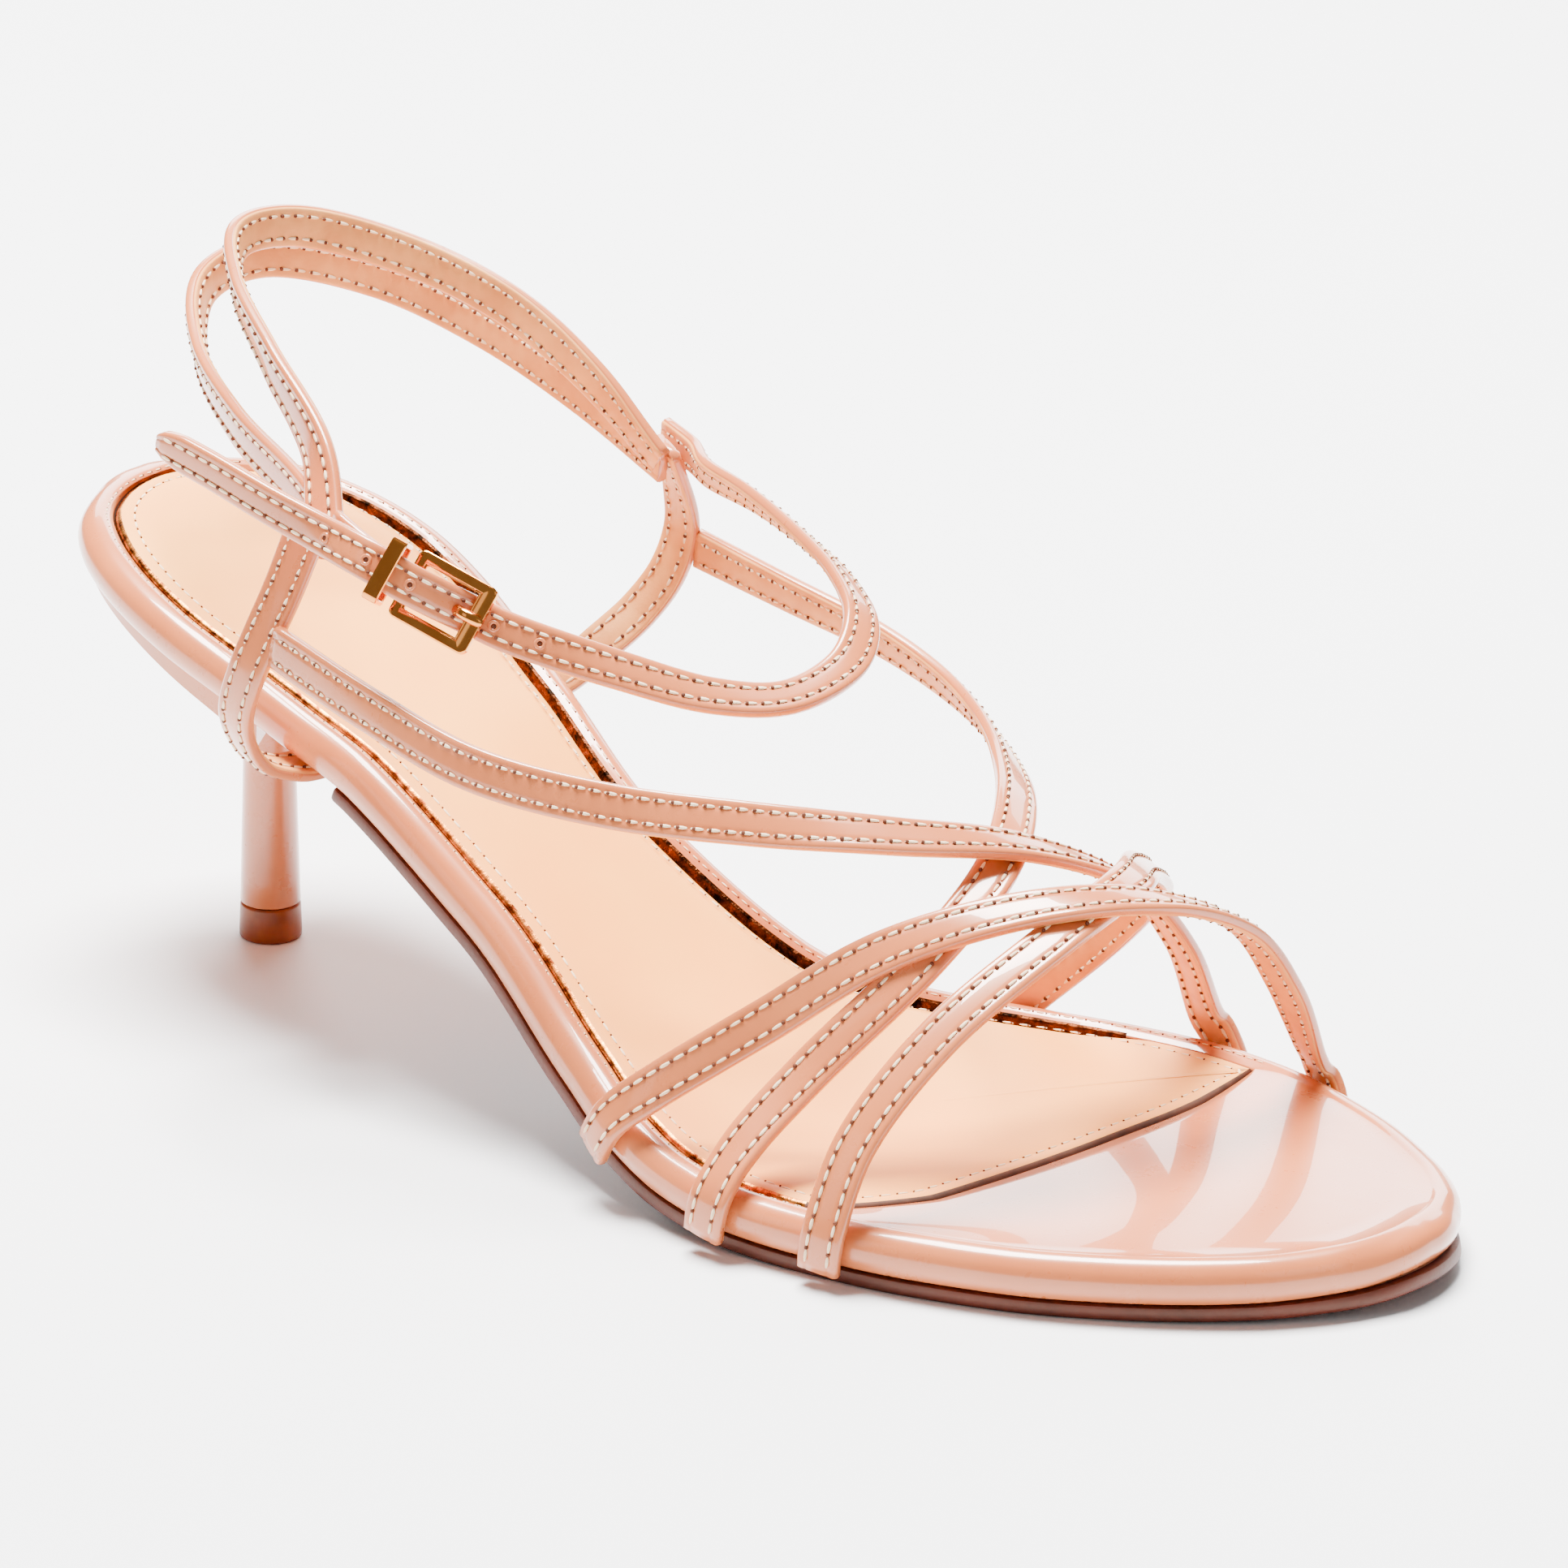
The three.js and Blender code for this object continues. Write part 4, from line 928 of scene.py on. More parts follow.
def grown(
    name: str,
    guides: Sequence[Guide],
    tree: bpy.types.NodeTree,
    values: dict[str, object],
) -> bpy.types.Object:
    """Grow what a tree places along guides, and keep it as a plain mesh.

    Args:
        name: The piece's name.
        guides: The lines or points.
        tree: The geometry tree.
        values: The values of its named inputs.

    Returns:
        The piece, at the origin, without a modifier.
    """
    points, edges, facing, along = [], [], [], []
    for guide in guides:
        base = len(points)
        count = len(guide.points)
        points.extend((guide.points + np.array([HEEL_TO_TOE_X, 0, 0])).tolist())
        facing.extend(guide.facing.tolist())
        along.extend((guide.along if guide.along is not None else guide.facing).tolist())
        if guide.line:
            edges.extend((base + i, base + i + 1) for i in range(count - 1))
            if guide.closed:
                edges.append((base + count - 1, base))
    mesh = bpy.data.meshes.new(name + "_guide")
    mesh.from_pydata(points, edges, [])
    for key, rows in (("facing", facing), ("along", along)):
        layer = mesh.attributes.new(key, "FLOAT_VECTOR", "POINT")
        layer.data.foreach_set("vector", np.ravel(rows))
    guide_object = bpy.data.objects.new(name + "_guide", mesh)
    bpy.context.scene.collection.objects.link(guide_object)
    modifier = guide_object.modifiers.new("grow", "NODES")
    modifier.node_group = tree
    sockets = {s.name: s.identifier for s in tree.interface.items_tree if s.in_out == "INPUT"}
    for key, value in values.items():
        modifier[sockets[key]] = value
    evaluated = guide_object.evaluated_get(bpy.context.evaluated_depsgraph_get())
    made = bpy.data.meshes.new_from_object(evaluated)
    made.name = name
    for key in ("facing", "along"):
        if key in made.attributes:
            made.attributes.remove(made.attributes[key])
    guide_object.modifiers.clear()
    bpy.data.objects.remove(guide_object)
    piece = bpy.data.objects.new(name, made)
    bpy.context.scene.collection.objects.link(piece)
    return piece


@dataclass(frozen=True)
class Seam:
    """The sizes of one kind of stitching."""

    pitch: float
    length: float
    width: float
    height: float
    hole: float

    def sew(
        self,
        name: str,
        guides: Sequence[Guide],
        tree: bpy.types.NodeTree,
        thread: Finish = THREAD,
        slot: Slot = Slot.PATENT,
    ) -> bpy.types.Object:
        """Sew guides into a piece of thread and dark dots of painted needle hole shade.

        Args:
            name: The piece's name.
            guides: The rows.
            tree: The stitch tree.
            thread: The thread's finish.
            slot: The material slot that it goes with.

        Returns:
            The settled piece.
        """
        values = {
            "Pitch": self.pitch,
            "Stitch Length": self.length,
            "Stitch Width": self.width,
            "Stitch Height": self.height,
            "Hole Radius": self.hole,
            "Thread": thread.material(),
            "Hole": NEEDLE_HOLE_SHADE.material(),
            "Seed": 7,
        }
        return settle(grown(name, guides, tree, values), slot)


STRAP_SEAM = Seam(2.2 * MM, 1.9 * MM, 0.5 * MM, 0.36 * MM, 0.6 * MM)
SOCK_SEAM = Seam(2.4 * MM, 1.7 * MM, 0.4 * MM, 0.24 * MM, 0.36 * MM)
RIM_SEAM = Seam(1.9 * MM, 1.1 * MM, 0.28 * MM, 0.16 * MM, 0.3 * MM)


# Sub-assemblies


def arch_share(turn: np.ndarray) -> np.ndarray:
    """Return one along the inner side of the arch, fading to zero at the heel and the ball.

    Args:
        turn: The loop angles.

    Returns:
        The share at each angle.
    """
    along = (1 - np.cos(turn)) / 2
    inner = turn > math.pi
    rise = np.clip((along - 0.06) / 0.05, 0, 1)
    fall = np.clip((0.70 - along) / 0.05, 0, 1)
    return np.where(inner, rise * fall, 0.0)


@dataclass
class Board:
    """The board with its padded, wrapped rim, hollowed for the sock and covering the toe."""

    count: int = 320
    wall_top: float = 5.5 * MM
    rim: tuple = (
        (-1.0, 0),
        (0.2, 0.3),
        (0.9, 0.9),
        (1.5, 2.7),
        (1.1, 4.6),
        (-0.2, 5.9),
        (-1.7, 6.3),
        (-2.6, 6.0),
    )

    def rows(self) -> np.ndarray:
        """Return the rim's profile drawn finely: outward and lift."""
        rim = np.asarray([(*row, 0) for row in self.rim], float) * MM
        return centripetal(rim, 5)[:, :2]

    def build(self) -> bpy.types.Object:
        """Build the board and the rim as one closed piece."""
        a = np.linspace(0, 2 * math.pi, self.count, endpoint=False)
        tuck = FORM.tuck(a)
        even_row = np.ones_like(a)
        rows = self.rows()
        rings = [FORM.spine(a, 0), FORM.beside(a, -9 * MM * even_row, 0 * a)]
        for outward, lift in rows:
            rings.append(
                FORM.beside(
                    a, outward * even_row - (tuck if lift > 0 else 0), lift * even_row
                )
            )
        outer = rings[-1]
        edge = FORM.sock_edge(a, 0, self.wall_top)
        for share in np.linspace(0.1, 0.95, 11):
            ring = outer + (edge - outer) * share
            ring[:, 2] += self.dome(outer, edge) * math.sin(math.pi * share)
            rings.append(ring)
        lip = len(rings)
        band = lip - 6
        rings.append(edge)
        rings.append(FORM.sock_edge(a, 0.12 * MM, self.wall_top - 0.25 * MM))
        floor = FORM.sock_edge(a, 0.3 * MM, SOCK_FLOOR)
        rings.append(floor)
        bottom = FORM.spine(a, SOCK_FLOOR, 0.11, 0.66)
        rings.append((floor + bottom) / 2)
        rings.append(bottom)
        arch = arch_share(a) > 0.3
        sheet = Sheet()
        # Past the sock's edge the groove's walls and floor take painted groove shade; along the
        # inner arch the cover's edge and the groove's top take the bronze with painted shade.
        sheet.loft(
            rings,
            finish=lambda r, i: 2 if arch[i] and band <= r <= lip + 1 else 1 if r > lip else 0,
        )
        piece = sheet.build(
            "rim_and_board", (PATENT.material(), GROOVE_SHADE.material(), BRONZE_AND_SHADE.material())
        )
        return settle(piece, Slot.PATENT, "insole_board")

    @staticmethod
    def dome(outer: np.ndarray, edge: np.ndarray) -> np.ndarray:
        """Return how high the cover swells between the rim and the sock, more over the toe."""
        span = np.linalg.norm(outer - edge, axis=1)
        return 0.5 * MM * np.clip((span - 2 * MM) / (20 * MM), 0, 1)

    def stitch_guide(self) -> Guide:
        """Return the line of stitches on the rim's inner top, from side to side."""
        a = np.linspace(FORM.front_to - 2 * math.pi, FORM.front_from, 500)
        tuck = FORM.tuck(a)
        points = FORM.beside(a, -2.15 * MM - tuck, np.full_like(a, 6.22 * MM))
        return Guide(points, FORM.up(points[:, 1]))


@dataclass
class Sock:
    """The padded sock with its foil edge and its perimeter stitch."""

    count: int = 320
    seam_inset: float = 3.0 * MM
    foil_inset: float = 1.7 * MM
    arch_sink: float = 2.0 * MM
    puff: float = 0.35 * MM

    def rows(self) -> tuple[tuple[float, float], ...]:
        """Return the edge profile: inset from the groove and height, in metres."""
        top = SOCK_TOP
        under = SOCK_FLOOR + 0.3 * MM
        return (
            (0.9 * MM, under),
            (0.5 * MM, under + 0.3 * MM),
            (0.4 * MM, under + 0.8 * MM),
            (0.4 * MM, top - 1.1 * MM),
            (0.5 * MM, top - 0.7 * MM),
            (0.75 * MM, top - 0.42 * MM),
            (1.15 * MM, top - 0.24 * MM),
            (self.foil_inset, top - 0.14 * MM),
            (self.foil_inset + 0.5 * MM, top - 0.1 * MM),
            (self.seam_inset - 0.25 * MM, top - 0.12 * MM),
            (self.seam_inset, top - 0.2 * MM),
            (self.seam_inset + 0.25 * MM, top - 0.12 * MM),
            (self.seam_inset + 0.9 * MM, top),
        )

    def sink(self, turn: np.ndarray) -> np.ndarray:
        """Return how far the edge sinks below the rim along the inner side of the arch."""
        return self.arch_sink * arch_share(turn)

    def build(self) -> bpy.types.Object:
        """Build the sock with the foil on its edge at the rear and painted shade on its front
        edge.
        """
        a = np.linspace(0, 2 * math.pi, self.count, endpoint=False)
        under = SOCK_FLOOR + 0.3 * MM
        rows = self.rows()
        bottom = FORM.spine(a, under, 0.11, 0.66)
        rings = [bottom, (bottom + FORM.sock_edge(a, 0.9 * MM, under)) / 2]
        first = len(rings)
        low = self.sink(a)
        rings.extend(
            FORM.sock_edge(a, inset, lift)
            - np.outer(low * (1 - k / len(rows)), (0, 0, 1)) * (lift > under)
            for k, (inset, lift) in enumerate(rows)
        )
        outer = rings[-1]
        middle = FORM.spine(a, SOCK_TOP, 0.11, 0.66)
        for share in (0.12, 0.25, 0.4, 0.6, 0.8, 1.0):
            ring = outer + (middle - outer) * share
            ring[:, 2] += self.puff * math.sin(math.pi / 2 * min(1.0, share * 2.2))
            rings.append(ring)
        sheet = Sheet()
        foil = first + 6
        rear = (a < FORM.front_from) | (a > FORM.front_to)
        # The edge's side wall is foil at the rear and painted groove shade at the front.
        sheet.loft(
            rings,
            finish=lambda r, i: (1 if rear[i] else 2) if first + 2 <= r < foil else 0,
        )
        piece = sheet.build(
            "padded_sock", (SOCK.material(), FOIL.material(), GROOVE_SHADE.material())
        )
        settle(piece, Slot.SOCK, "insole_sock")
        return piece

    def stitch_guide(self) -> Guide:
        """Return the perimeter row."""
        a = np.linspace(0, 2 * math.pi, 700, endpoint=False)
        points = FORM.sock_edge(a, self.seam_inset, SOCK_TOP - 0.14 * MM)
        return Guide(points, FORM.up(points[:, 1]), closed=True)


@dataclass
class Outsole:
    """The thin outsole from the toe back to the tucks of the posts, where it ends square."""

    count: int = 320
    reach: float = 0.5 * MM
    gap: float = 0.12 * MM
    breast: float = 0.288

    def build(self) -> bpy.types.Object:
        """Build the outsole."""
        a = np.linspace(0, 2 * math.pi, self.count, endpoint=False)
        edge = (
            (self.reach - 0.5 * MM, -self.gap),
            (self.reach - 0.12 * MM, -self.gap - 0.1 * MM),
            (self.reach, -0.6 * MM),
            (self.reach, -1.5 * MM),
            (self.reach - 0.12 * MM, -TREAD + 0.25 * MM),
            (self.reach - 0.4 * MM, -TREAD + 0.04 * MM),
            (self.reach - 0.8 * MM, -TREAD),
        )
        rings = [
            FORM.spine(a, -self.gap, self.breast, 0.9),
            self.place(a, -9 * MM, -self.gap),
            *[self.place(a, outward, lift) for outward, lift in edge],
            self.place(a, -9 * MM, -TREAD),
            FORM.spine(a, -TREAD, self.breast, 0.9),
        ]
        sheet = Sheet()
        sheet.loft(rings)
        piece = sheet.build("outsole_edge_and_tread", (OUTSOLE.material(),))
        crease(piece, 50)
        return settle(piece, Slot.OUTSOLE, "outsole")

    def place(self, turn: np.ndarray, outward: float, lift: float) -> np.ndarray:
        """Return a ring of the outsole, held in front of its square rear end.

        Args:
            turn: The loop angles.
            outward: The distance outside the feather line.
            lift: The height above it.

        Returns:
            The ring's points.
        """
        half = np.where(turn <= math.pi, turn, 2 * math.pi - turn)
        breast = FORM.turn_at(self.breast)
        rear_y = np.full_like(turn, HEEL_BACK_Y - self.breast * LENGTH)
        lifts = np.full_like(turn, lift)
        point = FORM.beside(turn, np.full_like(turn, outward), lifts)
        limit = FORM.on(point[:, 0], rear_y, lifts)
        front = np.where((point[:, 1] < limit[:, 1])[:, None], point, limit)
        corner_turn = np.where(turn <= math.pi, breast, 2 * math.pi - breast)
        corner = FORM.beside(corner_turn, np.full_like(turn, outward), lifts)
        middle = FORM.spine(corner_turn, lift)[:, 0]
        x = middle + (corner[:, 0] - middle) * half / breast
        rear = FORM.on(x, rear_y, lifts)
        return np.where((half >= breast)[:, None], front, rear)


@dataclass
class Heel:
    """The covered heel: a seat under the board, a slim round column and its tip."""

    x: float = -0.021 * BALL_WIDTH
    y: float = 0.377 * LENGTH
    column_top: float = 0.745 * HEEL_RISE
    top_radius: float = 3.75 * MM
    bottom_radius: float = 4.45 * MM
    tip_radius: float = 4.6 * MM
    tip_height: float = 5.4 * MM
    front_along: float = 0.222
    gap: float = 0.12 * MM
    sides: int = 96

    def seat(self) -> np.ndarray:
        """Return the seat's outline: round the heel, then across its hollowed front."""
        front = FORM.turn_at(self.front_along)
        around = self.sides - self.sides // 4
        turn = np.linspace(front, -front, around + 1)
        ring = FORM.beside(turn, np.full_like(turn, -0.6 * MM), np.full_like(turn, -self.gap))
        share = np.linspace(0, 1, self.sides - around + 1)[1:-1]
        a, b = ring[-1], ring[0]
        y = a[1] + (b[1] - a[1]) * share + 7 * MM * np.sin(math.pi * share)
        x = a[0] + (b[0] - a[0]) * share
        return np.vstack([ring, FORM.on(x, y, np.full_like(x, -self.gap))])

    def toward(self, seat: np.ndarray, share: float, drop: np.ndarray) -> np.ndarray:
        """Return the seat's outline drawn in towards the column and dropped."""
        x = seat[:, 0] + (self.x - seat[:, 0]) * share
        y = seat[:, 1] + (self.y - seat[:, 1]) * share
        ring = FORM.on(x, y, np.full_like(x, -self.gap))
        ring[:, 2] -= drop
        return ring

    def circle(self, seat: np.ndarray, radius: float, z: float) -> np.ndarray:
        """Return a ring of the column."""
        angle = np.arctan2(seat[:, 1] - self.y, seat[:, 0] - self.x)
        ring = [self.x + radius * np.cos(angle), self.y + radius * np.sin(angle)]
        return np.stack([*ring, np.full_like(angle, z)], axis=1)

    def build(self) -> bpy.types.Object:
        """Build the covered heel."""
        seat = self.seat()
        wall = 0.5 * MM + 3.2 * MM * np.clip((HEEL_BACK_Y - seat[:, 1]) / (50 * MM), 0, 1)
        top = self.column_top
        stack = [
            self.toward(seat, 0, wall),
            self.toward(seat, 0.3, wall + 0.5 * MM),
            self.toward(seat, 0.6, wall + 1.6 * MM),
            self.circle(seat, 6.2 * MM, top + 5.2 * MM),
            self.circle(seat, 4.6 * MM, top + 2.4 * MM),
            self.circle(seat, self.top_radius, top - 2 * MM),
            self.circle(seat, self.top_radius + 0.1 * MM, 30 * MM),
            self.circle(seat, self.bottom_radius, self.tip_height + 0.3 * MM),
        ]
        rings = [self.toward(seat, 1, 0 * wall), self.toward(seat, 0.5, 0 * wall), seat]
        rings.append(self.toward(seat, 0, wall * 0.8))
        fine = [centripetal(np.stack([ring[i] for ring in stack]), 7) for i in range(len(seat))]
        rings.extend(np.stack([line[k] for line in fine]) for k in range(len(fine[0])))
        rings.append(
            self.circle(seat, self.bottom_radius - 0.2 * MM, self.tip_height + 0.1 * MM)
        )
        rings.append(self.circle(seat, 0, self.tip_height + 0.1 * MM))
        sheet = Sheet()
        sheet.loft(rings)
        piece = sheet.build("covered_heel", (PATENT.material(),))
        crease(piece, 60)
        return settle(piece, Slot.PATENT, "heel")

    def build_tip(self) -> bpy.types.Object:
        """Build the heel tip."""
        profile = (
            (0, 0),
            (self.tip_radius - 0.5 * MM, 0),
            (self.tip_radius - 0.2 * MM, 0.08 * MM),
            (self.tip_radius, 0.35 * MM),
            (self.tip_radius, 1.2 * MM),
            (self.bottom_radius + 0.03 * MM, self.tip_height - 0.4 * MM),
            (self.bottom_radius - 0.08 * MM, self.tip_height - 0.08 * MM),
            (self.bottom_radius - 0.3 * MM, self.tip_height),
            (0, self.tip_height),
        )
        angle = np.linspace(0, 2 * math.pi, 72, endpoint=False)
        rings = [
            np.stack(
                [
                    self.x + r * np.cos(angle),
                    self.y + r * np.sin(angle),
                    np.full_like(angle, z),
                ],
                axis=1,
            )
            for r, z in profile
        ]
        sheet = Sheet()
        sheet.loft(rings)
        return settle(sheet.build("amber_tip", (AMBER.material(),)), Slot.TIP, "heel_tip")


@dataclass(frozen=True)
class StrapEnd:
    """Where a toe strap leaves the sole."""

    side: Side
    along: float
    lean: float
    stand_off: float = 2.9 * MM

    def points(self) -> np.ndarray:
        """Return the end's three points, from just above the outsole up."""
        lift = np.array([0.2, 3.2, 6.4]) * MM
        inset = np.array([0.3, 0, 0.7]) * MM
        half = np.arccos(1 - 2 * (self.along + self.lean * lift / LENGTH))
        turn = half if self.side is Side.LATERAL else 2 * math.pi - half
        return FORM.beside(turn, self.stand_off - inset, lift)

    def facing(self) -> np.ndarray:
        """Return the direction that the strap's face looks at the rim."""
        half = FORM.turn_at(self.along)
        turn = np.array([half if self.side is Side.LATERAL else 2 * math.pi - half])
        out = FORM.beside(turn, np.full(1, MM), np.zeros(1))
        on = FORM.beside(turn, np.zeros(1), np.zeros(1))
        return unit(out - on)[0]


def foot_outward(points: np.ndarray) -> np.ndarray:
    """Return the directions away from the nearest place of the foot's middle."""
    middle = spots(FOOT_MIDDLE)
    best = np.full(len(points), np.inf)
    nearest = np.zeros_like(points)
    for a, b in zip(middle[:-1], middle[1:]):
        t = np.clip((points - a) @ (b - a) / ((b - a) @ (b - a)), 0, 1)
        on = a + t[:, None] * (b - a)
        away = np.linalg.norm(points - on, axis=1)
        closer = away < best
        best = np.where(closer, away, best)
        nearest = np.where(closer[:, None], on, nearest)
    return unit(points - nearest)


@dataclass
class Strap:
    """A folded strap: patent outside, lining inside, stitches along each edge."""

    points: np.ndarray
    outward: Callable[[np.ndarray], np.ndarray] = foot_outward
    width: float = 6.2 * MM
    thickness: float = 1.8 * MM
    step: float = 1.1 * MM
    seam_inset: float = 1.45 * MM
    tip: float = 1.0
    lined: bool = True

    def __post_init__(self) -> None:
        """Lay the strap's line and its frames."""
        self.line = even(centripetal(self.points), self.step)
        along = unit(np.gradient(self.line, axis=0))
        out = self.outward(self.line)
        kernel = np.exp(-np.linspace(-2, 2, 13) ** 2)
        padded = np.vstack([np.repeat(out[:1], 6, 0), out, np.repeat(out[-1:], 6, 0)])
        out = np.stack(
            [np.convolve(padded[:, k], kernel / kernel.sum(), "valid") for k in range(3)],
            axis=1,
        )
        out -= np.sum(out * along, axis=1, keepdims=True) * along
        self.along = along
        self.out = unit(out)
        self.across = np.cross(self.out, along)

    def section(self) -> tuple[np.ndarray, int]:
        """Return the section, across and out, and how many of its points are patent skin."""
        h, k, s = self.width / 2, self.thickness / 2, self.seam_inset
        half = [
            (0.0, k + 0.04 * MM),
            (h - s - 0.9 * MM, k + 0.02 * MM),
            (h - s - 0.35 * MM, k),
            (h - s - 0.12 * MM, k - 0.09 * MM),
            (h - s + 0.12 * MM, k - 0.09 * MM),
            (h - s + 0.35 * MM, k),
            (h - 0.55 * MM, k - 0.02 * MM),
            (h - 0.25 * MM, k - 0.12 * MM),
            (h - 0.06 * MM, k - 0.34 * MM),
            (h, k - 0.62 * MM),
            (h - 0.02 * MM, -k + 0.62 * MM),
            (h - 0.12 * MM, -k + 0.42 * MM),
        ]
        inner = [
            (h - 0.24 * MM, -k + 0.36 * MM),
            (h - 0.26 * MM, -k + 0.14 * MM),
            (h - 0.5 * MM, -k + 0.02 * MM),
            (h - s + 0.2 * MM, -k),
            (h - s, -k + 0.08 * MM),
            (h - s - 0.2 * MM, -k),
        ]
        right = half + inner
        left = [(-w, t) for w, t in reversed(right)]
        middle = [(0.0, -k)]
        ring = right + middle + left[:-1]
        return np.asarray(ring, float), len(half)

    def rings(self) -> list[np.ndarray]:
        """Return the strap's rings."""
        section, _ = self.section()
        shares = np.linspace(0, 1, len(self.line))
        length = self.step * (len(self.line) - 1)
        near = np.clip(shares * length / (4.2 * MM), 0, 1)
        narrow = (
            self.tip + (1 - self.tip) * np.sqrt(near) if self.tip < 1 else np.ones_like(shares)
        )
        return [
            at + np.outer(section[:, 0] * slim, across) + np.outer(section[:, 1], out)
            for at, across, out, slim in zip(self.line, self.across, self.out, narrow)
        ]

    def add_to(self, sheet: Sheet) -> None:
        """Add the strap to a piece: skin is finish 0 and lining is finish 1."""
        section, skin = self.section()
        count = len(section)
        lining = range(skin, count - skin)
        rings = self.rings()
        walk = walked(self.line)
        around = walked(np.vstack([section, section[:1]]))
        uvs = [np.stack([np.full_like(around, u), around], axis=1) for u in walk]
        inside = 1 if self.lined else 0
        sheet.loft(
            rings,
            finish=lambda r, i: inside if i in lining else 0,
            start=True,
            end=True,
            uvs=uvs,
        )

    def guides(self, trim: tuple[float, float] = (1.5 * MM, 1.5 * MM)) -> list[Guide]:
        """Return the rows of stitches on the skin and on the lining.

        Args:
            trim: How far from each end the rows stop.

        Returns:
            Two rows outside, and two inside where the strap is lined.
        """
        start = math.ceil(trim[0] / self.step)
        end = len(self.line) - math.ceil(trim[1] / self.step)
        rows = []
        faces = ((1, self.thickness / 2 + 0.05 * MM), (-1, self.thickness / 2 + 0.05 * MM))
        for sign, lift in faces[: 2 if self.lined else 1]:
            for side in (-1, 1):
                offset = side * (self.width / 2 - self.seam_inset)
                points = self.line + self.across * offset + self.out * sign * lift
                rows.append(Guide(points[start:end], (self.out * sign)[start:end]))
        return rows


# The toe straps' centre lines between their ends.
TOP_STRAP = (
    (-51.9, -8.3, 31.7),
    (-40.9, -12.9, 46.9),
    (-28.7, -17.8, 62.9),
    (-14.4, -24.3, 73.7),
    (3.3, -28.7, 72.5),
    (22.1, -30.6, 59.2),
    (31.8, -31.3, 41.4),
    (42, -31, 19.2),
)
SWEEP_INNER_STRAP = (
    (-53.6, -14.9, 24.4),
    (-41.5, -16.3, 38.3),
    (-24.9, -20.1, 62.5),
    (-8.2, -20.4, 76.3),
    (8.9, -17.3, 82.2),
    (25.6, -11.9, 83.6),
    (36.6, -5.5, 87.5),
    (41.2, 1.2, 92.7),
    (42.2, 9.2, 98),
    (43.6, 16.7, 102.5),
)
LOW_STRAP = (
    (-51.4, -22.5, 32),
    (-36.4, -24.1, 52.2),
    (-15.1, -26.3, 68),
    (6, -26.2, 72.9),
    (21.6, -23.3, 67.5),
    (39.4, -19.7, 52),
    (42.9, -16, 35.6),
)
SWEEP_OUTER_STRAP = (
    (44.8, -22.7, 19),
    (32.2, -23.7, 43.6),
    (18.9, -23.2, 64.2),
    (-1.1, -20.9, 79.8),
    (-19.3, -16.3, 85.9),
    (-34.5, -9.9, 89.2),
    (-46.1, -2.4, 91.5),
    (-52.9, 5.6, 95.6),
    (-53.5, 13.3, 103.1),
    (-50.9, 21.5, 110.3),
)
LATERAL_POST = (
    (-30, 24.1, 71.2),
    (-37.2, 24.6, 71.5),
    (-43.8, 25, 75.3),
    (-48.9, 24.8, 82.7),
    (-51.9, 24.3, 91.4),
    (-52.2, 23.4, 101.7),
    (-50, 22.6, 112.5),
    (-47.2, 22, 122.2),
    (-43.8, 21.1, 137.5),
)
MEDIAL_POST = (
    (11.2, 24.3, 69.3),
    (18.2, 23.4, 68.8),
    (25.1, 22.1, 71.9),
    (31.5, 20.8, 79),
    (37.4, 19.6, 86.4),
    (41.4, 18.5, 95.8),
    (42.8, 17.8, 106.9),
    (40.7, 17.4, 116.9),
    (35.8, 17.1, 131.2),
)
UPPER_HEEL_STRAP = (
    (-43.4, 19.9, 135.9),
    (-33.9, 23.5, 150),
    (-24, 30.3, 163.1),
    (-13.6, 36.3, 172.9),
    (-1.1, 40.1, 178.6),
    (12.5, 39.6, 177.3),
    (24.7, 34.4, 169.8),
    (30.6, 28, 159.7),
    (32.7, 22.3, 146.1),
    (33.6, 16.9, 128.3),
)
LOWER_HEEL_STRAP = (
    (-41.9, 20, 134.2),
    (-34.2, 25.3, 139.8),
    (-25.4, 32.6, 145.8),
    (-12.9, 39.7, 153.6),
    (1.2, 43.7, 163.4),
    (14.4, 43, 166.3),
    (26.9, 37.7, 161),
    (34.1, 31.2, 150.7),
    (36.5, 24, 138.3),
    (34.1, 16.8, 127.1),
)


